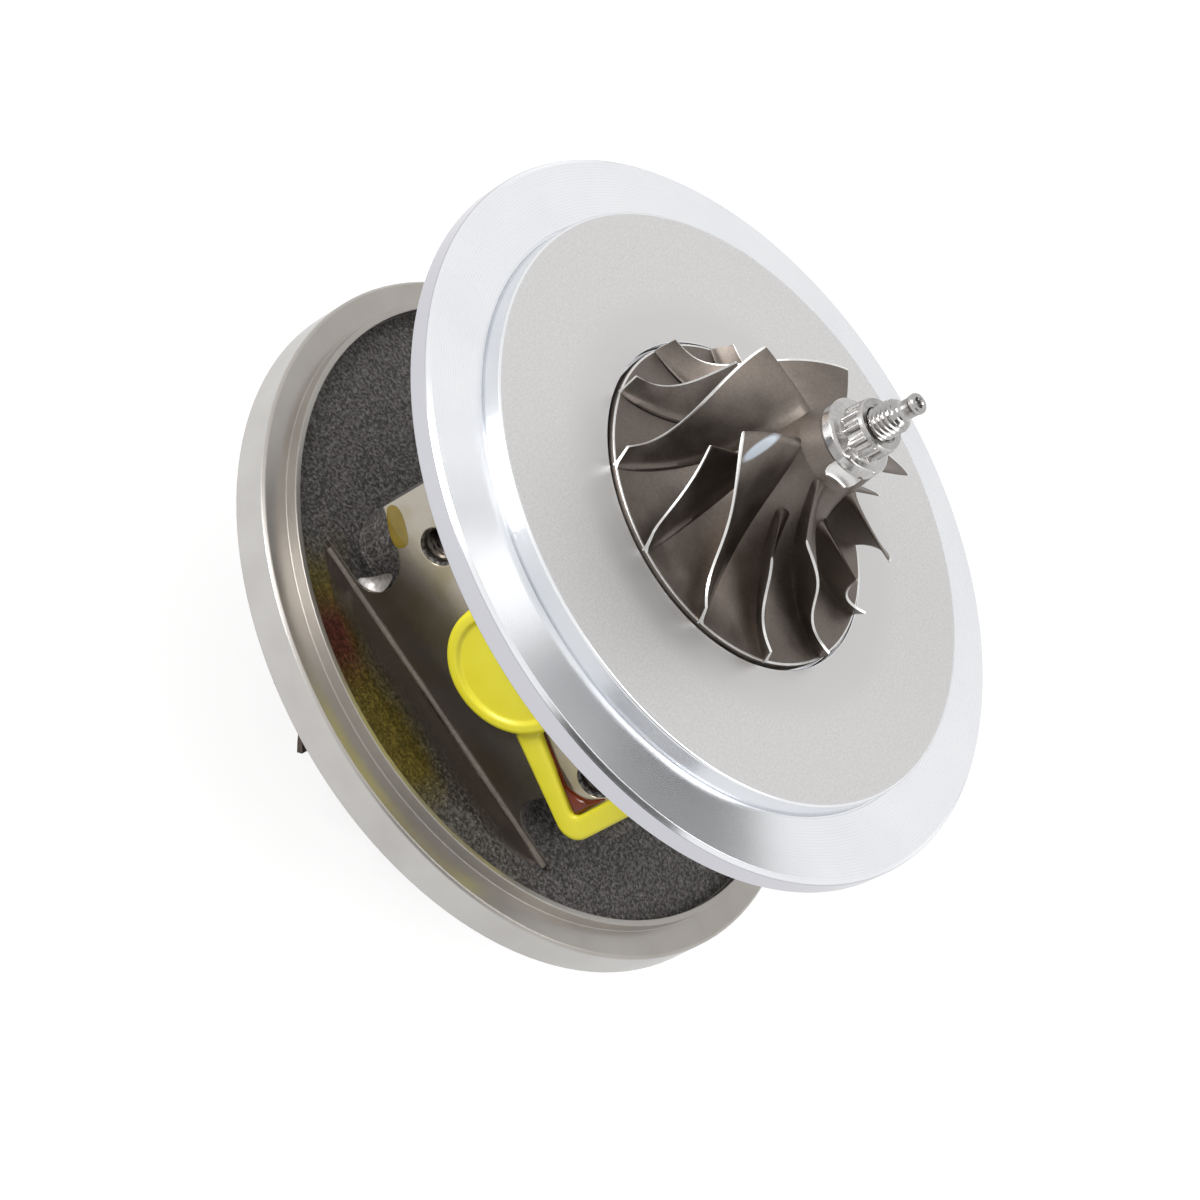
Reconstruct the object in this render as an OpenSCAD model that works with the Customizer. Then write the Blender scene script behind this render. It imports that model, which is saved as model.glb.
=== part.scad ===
// Turbo cartridge: the core of a turbocharger, from the compressor wheel to the turbine wheel.
// The shaft lies on Z, with the compressor end up. Z is zero on the backplate's joint face.
// The oil drain faces -Y and the oil inlet faces +Y. All sizes are in millimetres.

/* [Compressor backplate] */
// Outer diameter of the backplate's flange
plate_d = 110; // [104:1:120]
// Thickness of the flange
plate_t = 3.6; // [3:0.1:5]
// Diameter of the spigot that centres the compressor housing
spigot_d = 90; // [82:1:96]
// Height of the spigot above the flange
spigot_h = 3.2; // [2.6:0.1:4]
// Width of the boss behind the flange outside the circle of the bolts
plate_boss_w = 6; // [5:0.1:7]
// Height of that boss
plate_boss_h = 4.4; // [4:0.1:6]
// Diameter of the pilot that enters the bearing housing
pilot_d = 37.8; // [36:0.2:40]
// Length of that pilot
pilot_h = 3; // [2.8:0.1:4]
// Depth of the pocket that the compressor wheel runs in
pocket_depth = 1.6; // [1.2:0.1:2]
// Edge break on turned edges
edge_break = 0.4; // [0.2:0.1:0.6]

/* [Backplate bolts] */
// Thread diameter of the bolts
bolt_d = 5; // [4:0.5:5.5]
// Diameter of the circle that they lie on
bolt_circle_d = 62; // [60:0.5:63]
// Angle of the bolts from the X axis
bolt_angle = 25; // [22:1:28]
// Width of the hexagon across its flats
bolt_hex = 8; // [7:0.5:8.5]
// Diameter of the flange under the hexagon
bolt_flange_d = 10.6; // [9.5:0.1:11]
// Height of the flange under the hexagon
bolt_flange_h = 1.2; // [0.8:0.1:1.6]
// Height of the whole head
bolt_head_h = 5; // [4:0.1:6]
// Depth of each tapped hole's end below the joint face
bolt_cover = 1.5; // [1.2:0.1:2]

/* [Turbine flange] */
// Distance from the joint face down to the turbine flange
flange_drop = 36.1; // [35:0.1:38]
// Outer diameter of the turbine flange
flange_d = 105.4; // [102:0.2:110]
// Thickness of the turbine flange
flange_t = 6; // [5:0.1:7]
// Outer diameter of the turned lip inside the flange's rim
lip_d = 97; // [95:0.2:99]
// Width of that lip
lip_w = 0.85; // [0.6:0.05:1.2]
// Height of that lip above the rim
lip_h = 2; // [1.4:0.1:2.4]
// Height of the cast web above the rim where it leaves the lip
web_edge_h = 0.1; // [0:0.05:0.4]
// Height of the cast web above the rim where it meets the body
web_root_h = 3.1; // [2.4:0.1:4]
// Diameter of the recess in the back of the flange
recess_d = 72; // [70:0.5:76]
// Depth of that recess
recess_depth = 2.5; // [2:0.1:3]

/* [Bearing housing] */
// Diameter of the cast body
body_d = 48; // [46:0.5:50]
// Radius of the fillet between the body and the web
web_fillet = 5; // [3:0.5:7]
// Thickness of the head that the backplate bolts to
head_t = 5; // [4:0.1:6]
// Diameter of the nose on the turbine side
nose_d = 25; // [23:0.5:26]
// Distance that the nose stands out of the flange's back
nose_h = 7; // [6:0.1:8]
// Inner diameter of the oil chamber below the bearings
chamber_in_d = 21; // [20:0.5:23]
// Outer diameter of the oil chamber
chamber_out_d = 39; // [36:0.5:41]

/* [Oil drain] */
// Distance from the shaft to the drain pad
pad_reach = 32.5; // [31:0.1:34]
// Width of the drain pad
pad_w = 55.6; // [53:0.2:58]
// Depth of the milled pad above the cast block
pad_t = 4; // [3:0.1:5]
// Distance of the drain below the joint face
drain_drop = 18.8; // [18.6:0.1:19.4]
// Diameter of the drain hole
drain_d = 15; // [13:0.5:15]
// Distance between the drain's two bolt holes
drain_pitch = 38.5; // [37:0.5:40]
// Tapping diameter of the drain's bolt holes
drain_tap_d = 5; // [4.2:0.1:5.5]
// Depth of the drain's bolt holes
drain_tap_depth = 11; // [9:0.5:12]
// Radius of the notches beside the drain pad
notch_r = 6; // [5:0.25:6.5]
// Radius of the notches' lower corners
notch_corner_r = 3.4; // [2.5:0.1:4]
// Distance of each notch from the middle of the pad
notch_x = 23.7; // [23:0.1:25]
// Distance of each notch below the joint face
notch_drop = 30.8; // [30:0.1:31.4]
// Height of each ear's corner above the notch's centre
ear_h = 7.8; // [7:0.1:8.4]
// Angle round the notch at which the ear's underside leaves it
ear_turn = 25; // [15:1:35]
// Slope of the ear's underside
ear_slope = 20; // [10:1:30]
// Radius of the upright corners of the cast block behind the pad
block_corner_r = 6; // [4:0.5:7]

/* [Oil inlet] */
// Distance from the shaft to the inlet's face
inlet_reach = 31; // [29:0.5:34]
// Distance of the inlet below the joint face
inlet_drop = 22; // [21:0.1:23]
// Diameter of the inlet boss
inlet_boss_d = 16; // [14:0.5:17]
// Tapping diameter of the inlet
inlet_tap_d = 9; // [8:0.5:10]
// Depth of the inlet's thread
inlet_tap_depth = 12; // [8:0.5:12]
// Diameter of the drilled oil galleries
gallery_d = 3; // [2:0.25:3.5]
// Distance from the shaft to the gallery above the bearings
gallery_reach = 12; // [11.6:0.1:12.6]

/* [Shaft] */
// Diameter of the journals
journal_d = 7.8; // [7:0.1:8.4]
// Diameter of the relief between the journals
relief_d = 7.2; // [6.4:0.1:7.6]
// Diameter of the thin end that carries the compressor wheel
stub_d = 5; // [4.6:0.1:5.4]
// Pitch of the thread at the shaft's end
thread_pitch = 0.8; // [0.6:0.1:1]
// Length of thread above the nut
thread_h = 3.8; // [3:0.1:5]
// Length of the pilot tip
tip_h = 3.2; // [2.6:0.1:4]
// Diameter of the pilot tip
tip_d = 2.4; // [2:0.1:3]
// Diameter of the rim at the very end
tip_rim_d = 2.8; // [2.4:0.1:3.2]
// Diameter of the seal hub behind the turbine wheel
seal_hub_d = 14.8; // [13:0.2:15.4]
// Length of that seal hub
seal_hub_h = 7.4; // [7.2:0.1:8]

/* [Bearings and seals] */
// Length of each journal bearing
bearing_h = 7; // [6:0.1:7]
// Wall of each journal bearing
bearing_wall = 2.3; // [1.8:0.1:2.6]
// Distance of the upper bearing's middle below the joint face
upper_bearing_drop = 23.5; // [23.3:0.1:23.7]
// Distance of the lower bearing's middle below the joint face
lower_bearing_drop = 36.5; // [36.3:0.1:36.7]
// Diameter of the oil holes through the bearings
bearing_hole_d = 1.6; // [1:0.1:2]
// Number of oil holes round each bearing
bearing_holes = 4; // [3:1:6]
// Thickness of the bearings' retaining rings
ring_t = 0.9; // [0.7:0.1:1]
// Depth of the retaining rings' grooves
ring_groove = 0.6; // [0.4:0.05:0.8]
// Radial width of the retaining rings
ring_w = 1.6; // [1.2:0.1:1.8]
// Opening of the retaining rings
ring_opening = 3; // [2:0.1:4]
// Thickness of the thrust bearing
thrust_t = 3; // [2.4:0.1:3.4]
// Diameter of the thrust bearing
thrust_d = 37.2; // [35:0.2:37.4]
// Diameter of the thrust collar
collar_d = 15; // [14:0.2:15.6]
// Thickness of the thrust collar
collar_t = 2.5; // [2:0.1:3]
// Diameter of the collar's hub
collar_hub_d = 9.2; // [8:0.2:10]
// Thickness of the spacer's flinger disc
flinger_t = 2; // [1.6:0.1:2.4]
// Diameter of the spacer's sleeve
sleeve_d = 11.6; // [10.6:0.2:12]
// Thickness of the oil deflector
deflector_t = 0.8; // [0.6:0.1:1]
// Thickness of the piston seal rings
seal_t = 1; // [0.8:0.1:1.4]
// Radial width of the piston seal rings
seal_w = 0.8; // [0.6:0.05:1]
// Opening of the piston seal rings
seal_opening = 0.4; // [0.2:0.1:0.8]
// Distance of the compressor seal ring below the joint face
upper_seal_drop = 4; // [3:0.1:5]
// Distance of the turbine seal ring above the end of the nose
lower_seal_h = 2.6; // [2:0.1:3.2]
// Section diameter of the backplate's O-ring
o_ring_t = 1.8; // [1.5:0.1:2]
// Diameter of the thrust bearing's dowel pins
dowel_d = 2.5; // [2:0.1:3]
// Length of the dowel pins
dowel_h = 5.6; // [5:0.1:6]
// Distance between the dowel pins
dowel_pitch = 29; // [27:0.5:31]

/* [Compressor wheel] */
// Outer diameter of the compressor wheel
wheel_d = 48.6; // [46:0.2:52]
// Diameter across the blades at the inlet
inducer_d = 34.2; // [32:0.2:36]
// Diameter of the hub at the inlet
wheel_nose_d = 12.6; // [12:0.2:14]
// Thickness of the wheel's disc at its rim
wheel_rim_t = 2.3; // [1.6:0.1:3]
// Width of the blades at the rim
exit_w = 2.1; // [1.6:0.1:3]
// Height of the blades' inlet edges above the joint face
inlet_z = 20.8; // [19:0.1:22]
// Height of the blades' roots above their inlet edges
wheel_root_h = 0.8; // [0.4:0.1:1.2]
// Height of the hub above the blades' inlet edges
wheel_nose_h = 4.3; // [3.6:0.1:5]
// Depth of the balancing cut in the hub's end
balance_cut = 1.2; // [0.6:0.1:1.6]
// Height of the balancing cut
balance_h = 2.4; // [1.4:0.1:2.8]
// Direction of the balancing cut
balance_angle = 302; // [0:1:359]
// Number of full blades, each with a splitter behind it
full_blades = 6; // [5:1:7]
// Share of a full blade's length that the splitters leave out
splitter_start = 0.26; // [0.2:0.01:0.4]
// Angle of the first full blade's inlet tip
inlet_angle = 173.6; // [150:0.1:200]
// Angle that the inlet edge leans back at the hub
inlet_lean = 6.9; // [0:0.1:12]
// Angle that each blade turns through along its tip
blade_wrap = 53.4; // [40:0.1:65]
// Angle that the exit edge leans forward at the hub
exit_lean = 3.7; // [0:0.1:8]
// Thickness of the blades at the hub
blade_root_t = 1.7; // [1.2:0.1:2]
// Thickness of the blades at the tip
blade_tip_t = 0.9; // [0.6:0.1:1.2]

/* [Compressor nut] */
// Diameter of the nut's collar
nut_collar_d = 11.6; // [10:0.2:12]
// Height of the collar
nut_collar_h = 1.9; // [1.4:0.1:2.4]
// Height of the cone above the collar
nut_cone_h = 0.5; // [0.3:0.1:0.8]
// Width of the twelve points across the flats
nut_flats = 7.2; // [6.6:0.1:8]
// Height of the twelve points
nut_points_h = 3.5; // [3:0.1:4]

/* [Turbine wheel] */
// Outer diameter of the turbine wheel
turbine_d = 43; // [40:0.5:46]
// Diameter across the blades at the outlet
exducer_d = 38.4; // [35:0.2:40]
// Thickness of the turbine wheel's disc
turbine_disc_t = 2; // [1.6:0.1:3]
// Width of the turbine blades at the rim
turbine_inlet_w = 5.6; // [4.5:0.1:7]
// Length of the turbine wheel's blades along the shaft
turbine_blade_h = 20.3; // [18:0.1:24]
// Diameter of the boss at the turbine's end
turbine_boss_d = 8; // [7:0.2:9]
// Length of that boss past the blades
turbine_boss_h = 7.4; // [5:0.1:9]
// Diameter of the hub where the blades end
turbine_hub_d = 11; // [10:0.2:13]
// Number of turbine blades
turbine_blades = 11; // [9:1:12]
// Angle that the turbine blades turn through at the outlet
turbine_wrap = 38; // [25:1:45]
// Thickness of the turbine blades at the hub
turbine_root_t = 2; // [1.4:0.1:2.4]
// Thickness of the turbine blades at the tip
turbine_tip_t = 1.1; // [0.8:0.1:1.6]

/* [Heat shield] */
// Thickness of the heat shield's sheet
shield_t = 0.8; // [0.6:0.1:1]
// Diameter of the heat shield's flat middle
shield_flat_d = 52; // [46:0.5:56]
// Width of the heat shield's rim
shield_rim_w = 3.6; // [3:0.1:5]
// Gap between the heat shield and the turbine wheel
shield_gap = 1; // [0.6:0.1:1.2]

/* [Drain cap] */
// Diameter of the cap's disc
cap_d = 19.7; // [18.5:0.1:21]
// Thickness of the disc
cap_t = 2.5; // [2:0.1:3]
// Width of the disc's raised rim
cap_rim_w = 1.7; // [1.2:0.1:2.4]
// Depth of the disc's sunk middle
cap_sink = 0.5; // [0.3:0.1:0.8]
// Length of the shank in the drain hole
cap_shank_h = 9; // [6:0.5:10]
// Wall of the hollow shank
cap_wall = 1.6; // [1:0.1:2]
// Thickness of the pull loop
loop_t = 1.3; // [1:0.1:2]
// Distance from the drain's middle to the loop's end
loop_reach = 25.8; // [24.5:0.1:27]
// Width of the loop at its end
loop_w = 20; // [18:0.2:22]
// Width of the loop where it leaves the disc
loop_neck_w = 12.9; // [11:0.1:15]
// Width of the loop's strips
loop_strip = 3.6; // [3:0.1:4.2]
// Radius of the loop's corners
loop_corner = 2.6; // [1.5:0.1:3]
// Radius of the corners of the loop's window
window_corner = 0.9; // [0.5:0.1:1.5]

/* [Clearances] */
// Radial gap between the shaft and its bearings
journal_gap = 0.02; // [0.01:0.01:0.05]
// Radial gap between the bearings and the housing
bearing_gap = 0.05; // [0.02:0.01:0.08]
// Axial gap on each side of the thrust bearing
thrust_gap = 0.05; // [0.03:0.01:0.1]
// Radial gap round the thrust bearing and the oil deflector
thrust_side_gap = 0.425; // [0.2:0.025:0.6]
// Axial gap between a journal bearing and its retaining rings
ring_gap = 0.1; // [0.05:0.01:0.2]
// Gap round a piston seal ring in its groove
seal_gap = 0.1; // [0.05:0.01:0.2]
// Radial gap between the rotor's seal sleeves and their bores
sleeve_gap = 0.2; // [0.1:0.05:0.3]
// Gap between a press-fitted or screwed piece and its hole
fit_gap = 0.02; // [0.01:0.01:0.04]
// Radial gap between a bolt and its clearance hole
bolt_gap = 0.25; // [0.15:0.05:0.4]
// Gap between the compressor wheel and its pocket
wheel_gap = 0.4; // [0.3:0.05:0.6]
// Radial gap between the wheel's rim and the pocket's wall
rim_gap = 0.8; // [0.5:0.1:1.2]
// Gap between the rotor and the housing where nothing seals
free_gap = 0.65; // [0.5:0.05:0.8]
// Radial gap between the cap's shank and the drain hole
cap_gap = 0.05; // [0.03:0.01:0.1]

/* [Hidden] */
$fn = 96;
// A cut starts or ends this far outside the solid that it cuts
over = 1;

// Heights of the stack between the joint face and the thrust bearing's seat
seat_z = -plate_t - plate_boss_h;
pilot_z = seat_z - pilot_h;
thrust_top_z = pilot_z - deflector_t;
thrust_seat_z = thrust_top_z - thrust_t;
collar_top_z = thrust_seat_z - thrust_gap;
shoulder_z = collar_top_z - collar_t;
flinger_z = thrust_top_z + thrust_gap;
head_z = seat_z - head_t;

// Radius of the boss behind the backplate and of the head that it sits on
plate_boss_r = bolt_circle_d / 2 + plate_boss_w;

// Heights of the turbine end
rim_z = -flange_drop;
rear_z = rim_z - flange_t;
recess_z = rear_z + recess_depth;
nose_z = rear_z - nose_h;
wheel_joint_z = nose_z - shield_t - shield_gap + free_gap;
seal_hub_z = wheel_joint_z + seal_hub_h;
bore_end_z = seal_hub_z + free_gap;
lower_seal_z = nose_z + lower_seal_h;

// Radii of the bores that hold the bearings and seals
journal_r = journal_d / 2;
stub_r = stub_d / 2;
bearing_in_r = journal_r + journal_gap;
bearing_out_r = bearing_in_r + bearing_wall;
bore_r = bearing_out_r + bearing_gap;
groove_r = bore_r + ring_groove;
collar_r = collar_d / 2;
recess_r = collar_r + free_gap + sleeve_gap;
sleeve_r = sleeve_d / 2;
upper_seal_r = sleeve_r + sleeve_gap;
lower_seal_r = seal_hub_d / 2 + sleeve_gap;
pilot_r = pilot_d / 2;
counterbore_r = pilot_r + bolt_gap / 2;
thrust_bore_r = thrust_d / 2 + thrust_side_gap;
upper_bearing_z = -upper_bearing_drop;
lower_bearing_z = -lower_bearing_drop;
chamber_top_z = upper_bearing_z + bearing_h / 2;
chamber_end_z = recess_z + web_root_h;

// Heights of the compressor wheel and its nut
pocket_z = spigot_h - pocket_depth;
wheel_r = wheel_d / 2;
pocket_r = wheel_r + rim_gap;
wheel_back_z = pocket_z + wheel_gap;
wheel_seat_z = pocket_z - wheel_gap;
wheel_rim_z = wheel_back_z + wheel_rim_t;
wheel_top_z = inlet_z + wheel_nose_h;
nut_top_z = wheel_top_z + nut_collar_h + nut_cone_h + nut_points_h;
thread_top_z = nut_top_z + thread_h;
tip_z = thread_top_z + tip_h;

// Heights of the turbine wheel
turbine_hub_z = wheel_joint_z - turbine_disc_t;
turbine_end_z = turbine_hub_z - turbine_blade_h;
turbine_boss_z = turbine_end_z - turbine_boss_h;

drain_z = -drain_drop;
pad_top_z = seat_z - over;
block_reach = pad_reach - pad_t;
block_w = pad_w - 2 * over;
block_t = 2 * pad_t;
notch_z = -notch_drop;
mill_z = rim_z + lip_h / 2;
cap_r = cap_d / 2;

// Stations along and across each wheel blade
blade_steps = 12;
blade_rows = 3;
// Depth that each blade's root is sunk in its hub, as a share of the blade's height
root_sink = 0.12;
// Share of a blade's length that it stops short of the wheel's rim
rim_stop = 0.006;
// Share of a compressor blade's wrap near its inlet, and the powers of its early and late turn
early_turn = 0.85;
early_power = 3.2;
late_power = 1.6;
// Power of a turbine blade's turn towards the outlet
outlet_power = 2.4;
// Powers of the hub lines and of the two wheels' tip lines
hub_power = 2;
wheel_tip_power = 3;
turbine_tip_power = 4;
// Depth of a thread's tooth as a share of its pitch
tooth_share = 0.54;

// Places something along the four backplate bolts
module at_bolts() {
    for (side = [0, 180], lean = [-1, 1])
        rotate(side + lean * bolt_angle) translate([bolt_circle_d / 2, 0, 0]) children();
}

// Turns a shape made along +Z to point along -Y, out of the drain pad
module out_of_drain() {
    rotate([90, 0, 0]) children();
}

// A tube between two heights
module tube(outer_r, inner_r, low, high) {
    rotate_extrude() translate([inner_r, low]) square([outer_r - inner_r, high - low]);
}

// An open ring, such as a circlip or a piston ring, centred on a height
module open_ring(outer_r, inner_r, thick, opening, mid_z) {
    difference() {
        tube(outer_r, inner_r, mid_z - thick / 2, mid_z + thick / 2);
        translate([inner_r / 2, -opening / 2, mid_z - thick])
            cube([outer_r, opening, 2 * thick]);
    }
}

// Milled outline of the drain pad, seen along Y, with a rounded notch under each ear
module pad_outline() {
    difference() {
        translate([-pad_w / 2, rim_z]) square([pad_w, pad_top_z - rim_z]);
        for (side = [-1, 1]) scale([side, 1]) {
            intersection() {
                translate([notch_x, notch_z]) circle(notch_r);
                translate([0, notch_z]) square(2 * notch_x);
            }
            translate([notch_x - notch_r + notch_corner_r, notch_z]) circle(notch_corner_r);
            polygon([
                [notch_x - notch_r * sin(ear_turn), notch_z + notch_r * cos(ear_turn)],
                [pad_w / 2 + over, notch_z + ear_h + over * tan(ear_slope)],
                [pad_w / 2 + over, notch_z - notch_corner_r],
                [notch_x - notch_r + notch_corner_r, notch_z - notch_corner_r]
            ]);
        }
    }
}

// Turned and cast shape of the housing: head, body, web, rim and nose
module housing_shape() {
    root_r = body_d / 2;
    root_z = rim_z + web_root_h;
    web_in_r = root_r + web_fillet;
    lip_r = lip_d / 2;
    flange_r = flange_d / 2;
    rotate_extrude() difference() {
        polygon([
            [0, seat_z],
            [plate_boss_r, seat_z],
            [plate_boss_r, head_z],
            [root_r, head_z],
            [root_r, root_z + web_fillet],
            [web_in_r, root_z],
            [lip_r - lip_w, rim_z + web_edge_h],
            [lip_r - lip_w, rim_z + lip_h],
            [lip_r, rim_z + lip_h],
            [lip_r, rim_z],
            [flange_r - edge_break, rim_z],
            [flange_r, rim_z - edge_break],
            [flange_r, rear_z + edge_break],
            [flange_r - edge_break, rear_z],
            [recess_d / 2, rear_z],
            [recess_d / 2, recess_z],
            [nose_d / 2, recess_z],
            [nose_d / 2, nose_z],
            [0, nose_z]
        ]);
        translate([web_in_r, root_z + web_fillet]) circle(web_fillet);
    }
}

// Cast block behind the drain pad, seen along Z, with rounded outer corners
module block_outline() {
    front_w = block_w - 2 * block_corner_r;
    translate([0, -block_reach]) intersection() {
        translate([-block_w / 2, 0]) square([block_w, block_t]);
        union() {
            translate([-front_w / 2, 0]) square([front_w, block_t]);
            translate([-block_w / 2, block_corner_r]) square([block_w, block_t]);
            for (side = [-1, 1]) translate([side * front_w / 2, block_corner_r]) circle(block_corner_r);
        }
    }
}

// Cast block, milled drain pad and inlet boss that stand on the housing
module housing_bosses() {
    out_of_drain() translate([0, 0, block_reach]) linear_extrude(pad_t) pad_outline();
    translate([0, 0, rim_z]) linear_extrude(pad_top_z - rim_z) block_outline();
    translate([-notch_x + notch_r, -block_reach, rim_z])
        cube([2 * (notch_x - notch_r), block_reach, pad_top_z - rim_z]);
    translate([0, 0, -inlet_drop]) rotate([-90, 0, 0]) cylinder(h = inlet_reach, d = inlet_boss_d);
}

// Bores on the shaft's line, with the retaining rings' grooves
module housing_bores() {
    tube(counterbore_r, 0, pilot_z - over, seat_z + over);
    tube(thrust_bore_r, 0, thrust_seat_z, pilot_z);
    tube(recess_r, 0, shoulder_z - free_gap, thrust_seat_z + over);
    tube(bore_r, 0, bore_end_z, shoulder_z);
    tube(lower_seal_r, 0, nose_z - over, bore_end_z);
    at_rings() tube(groove_r, 0, -ring_t / 2 - ring_gap, ring_t / 2 + ring_gap);
}

// Places something at the four retaining rings' heights
module at_rings() {
    for (bearing_z = [upper_bearing_z, lower_bearing_z], side = [-1, 1])
        translate([0, 0, bearing_z + side * (bearing_h / 2 + ring_gap + ring_t / 2)]) children();
}

// Oil ways: inlet, galleries, chamber and drain
module housing_oil_ways() {
    translate([0, 0, -inlet_drop]) rotate([-90, 0, 0]) {
        translate([0, 0, inlet_reach - inlet_tap_depth])
            cylinder(h = inlet_tap_depth + over, d = inlet_tap_d);
        translate([0, 0, gallery_reach]) cylinder(h = inlet_reach - gallery_reach, d = gallery_d);
    }
    translate([0, gallery_reach, lower_bearing_z])
        cylinder(h = thrust_seat_z - lower_bearing_z + over, d = gallery_d);
    for (bearing_z = [upper_bearing_z, lower_bearing_z])
        translate([0, 0, bearing_z]) rotate([-90, 0, 0]) cylinder(h = gallery_reach, d = gallery_d);
    intersection() {
        tube(chamber_out_d / 2, chamber_in_d / 2, chamber_end_z, chamber_top_z);
        translate([-body_d / 2, -body_d / 2 - drain_d / 2, chamber_end_z])
            cube([body_d, body_d / 2, chamber_top_z - chamber_end_z]);
    }
    slot_low = lower_bearing_z + bearing_h / 2 + 2 * ring_t;
    slot_high = upper_bearing_z - bearing_h / 2 - 2 * ring_t;
    translate([-bore_r / 2, -chamber_in_d / 2 - over, slot_low])
        cube([bore_r, chamber_in_d / 2, slot_high - slot_low]);
    translate([0, 0, drain_z]) out_of_drain() {
        translate([0, 0, recess_r]) cylinder(h = pad_reach, d = drain_d);
        for (side = [-1, 1]) translate([side * drain_pitch / 2, 0, pad_reach - drain_tap_depth]) {
            cylinder(h = drain_tap_depth + over, d = drain_tap_d);
            translate([0, 0, drain_tap_depth - edge_break])
                cylinder(h = edge_break, d1 = drain_tap_d, d2 = drain_tap_d + 2 * edge_break);
        }
    }
}

module centre_housing() {
    color("dimgray") difference() {
        union() {
            housing_shape();
            housing_bosses();
        }
        housing_bores();
        housing_oil_ways();
        at_bolts() translate([0, 0, head_z - over])
            cylinder(h = head_t + 2 * over, r = bolt_d / 2 + bolt_gap);
        dowel_holes();
        // Face that the cutter leaves on the web, outside the pad
        intersection() {
            translate([-pad_w / 2, -flange_d, mill_z]) cube([pad_w, flange_d - pad_reach, flange_drop]);
            tube(lip_d / 2 - 2 * lip_h, 0, mill_z, seat_z + over);
        }
    }
}

// Blind holes for the dowel pins
module dowel_holes() {
    for (side = [-1, 1]) translate([side * dowel_pitch / 2, 0, thrust_seat_z - dowel_h / 2])
        cylinder(h = dowel_h, d = dowel_d + 2 * fit_gap);
}

module backplate() {
    plate_r = plate_d / 2;
    spigot_r = spigot_d / 2;
    o_groove_r = pilot_r - o_ring_t + fit_gap;
    o_low = pilot_z + (pilot_h - o_ring_t) / 2 - seal_gap;
    color("gainsboro") difference() {
        rotate_extrude() polygon([
            [upper_seal_r, pocket_z],
            [pocket_r, pocket_z],
            [pocket_r, spigot_h],
            [spigot_r - edge_break, spigot_h],
            [spigot_r, spigot_h - edge_break],
            [spigot_r, 0],
            [plate_r - edge_break, 0],
            [plate_r, -edge_break],
            [plate_r, -plate_t],
            [plate_boss_r, -plate_t],
            [plate_boss_r, seat_z],
            [pilot_r, seat_z],
            [pilot_r, pilot_z],
            [recess_r, pilot_z],
            [recess_r, flinger_z + flinger_t + free_gap],
            [upper_seal_r, flinger_z + flinger_t + free_gap]
        ]);
        tube(pilot_r + over, o_groove_r, o_low, o_low + o_ring_t + 2 * seal_gap);
        at_bolts() translate([0, 0, seat_z - over])
            cylinder(h = over - seat_z - bolt_cover, r = bolt_d / 2 + fit_gap);
    }
}

module backplate_o_ring() {
    ring_r = counterbore_r - fit_gap - o_ring_t / 2;
    color("black") rotate_extrude() translate([ring_r, pilot_z + pilot_h / 2])
        intersection() {
            circle(o_ring_t / 2);
            square([o_ring_t - 2 * seal_gap, o_ring_t], center = true);
        }
}

module backplate_bolts() {
    color("slategray") at_bolts() {
        translate([0, 0, head_z]) cylinder(h = -head_z - bolt_cover - seal_gap, r = bolt_d / 2);
        translate([0, 0, head_z - bolt_flange_h]) cylinder(h = bolt_flange_h, d = bolt_flange_d);
        translate([0, 0, head_z - bolt_head_h])
            cylinder(h = bolt_head_h - bolt_flange_h, r = bolt_hex / 2 / cos(30), $fn = 6);
    }
}

module thrust_bearing() {
    color("darkgoldenrod") difference() {
        tube(thrust_d / 2, collar_hub_d / 2 + sleeve_gap, thrust_seat_z, thrust_top_z);
        for (side = [-1, 1]) translate([side * dowel_pitch / 2, 0, thrust_seat_z - over])
            cylinder(h = thrust_t + 2 * over, d = dowel_d + 2 * seal_gap);
        translate([0, gallery_reach, thrust_seat_z - over])
            cylinder(h = thrust_t + 2 * over, d = gallery_d / 2);
        // Opening at the bottom that lets the oil fall to the drain
        translate([-drain_d / 2, -thrust_d, thrust_seat_z - over])
            cube([drain_d, thrust_d - collar_r - over, thrust_t + 2 * over]);
    }
}

module thrust_dowels() {
    color("silver") for (side = [-1, 1])
        translate([side * dowel_pitch / 2, 0, thrust_seat_z - dowel_h / 2 + fit_gap])
            cylinder(h = dowel_h - fit_gap, d = dowel_d);
}

module oil_deflector() {
    color("lightsteelblue") difference() {
        tube(thrust_d / 2, recess_r, pilot_z - deflector_t, pilot_z);
        translate([-drain_d / 2, -thrust_d, pilot_z - deflector_t - over])
            cube([drain_d, thrust_d - counterbore_r + over * 2, deflector_t + 2 * over]);
    }
}

module thrust_collar() {
    color("darkgray") {
        tube(collar_r, stub_r + fit_gap, shoulder_z, collar_top_z);
        tube(collar_hub_d / 2, stub_r + fit_gap, collar_top_z, flinger_z);
    }
}

module flinger_spacer() {
    upper_seal_z = -upper_seal_drop;
    groove_h = seal_t + 2 * seal_gap;
    color("lightgray") difference() {
        union() {
            tube(collar_r, stub_r + fit_gap, flinger_z, flinger_z + flinger_t);
            tube(sleeve_r, stub_r + fit_gap, flinger_z, wheel_seat_z);
        }
        tube(sleeve_r + over, upper_seal_r - seal_w - seal_gap,
            upper_seal_z - groove_h / 2, upper_seal_z + groove_h / 2);
    }
}

module compressor_seal_ring() {
    color("gray") open_ring(upper_seal_r, upper_seal_r - seal_w, seal_t, seal_opening, -upper_seal_drop);
}

module turbine_seal_ring() {
    color("gray") open_ring(lower_seal_r, lower_seal_r - seal_w, seal_t, seal_opening, lower_seal_z);
}

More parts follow.
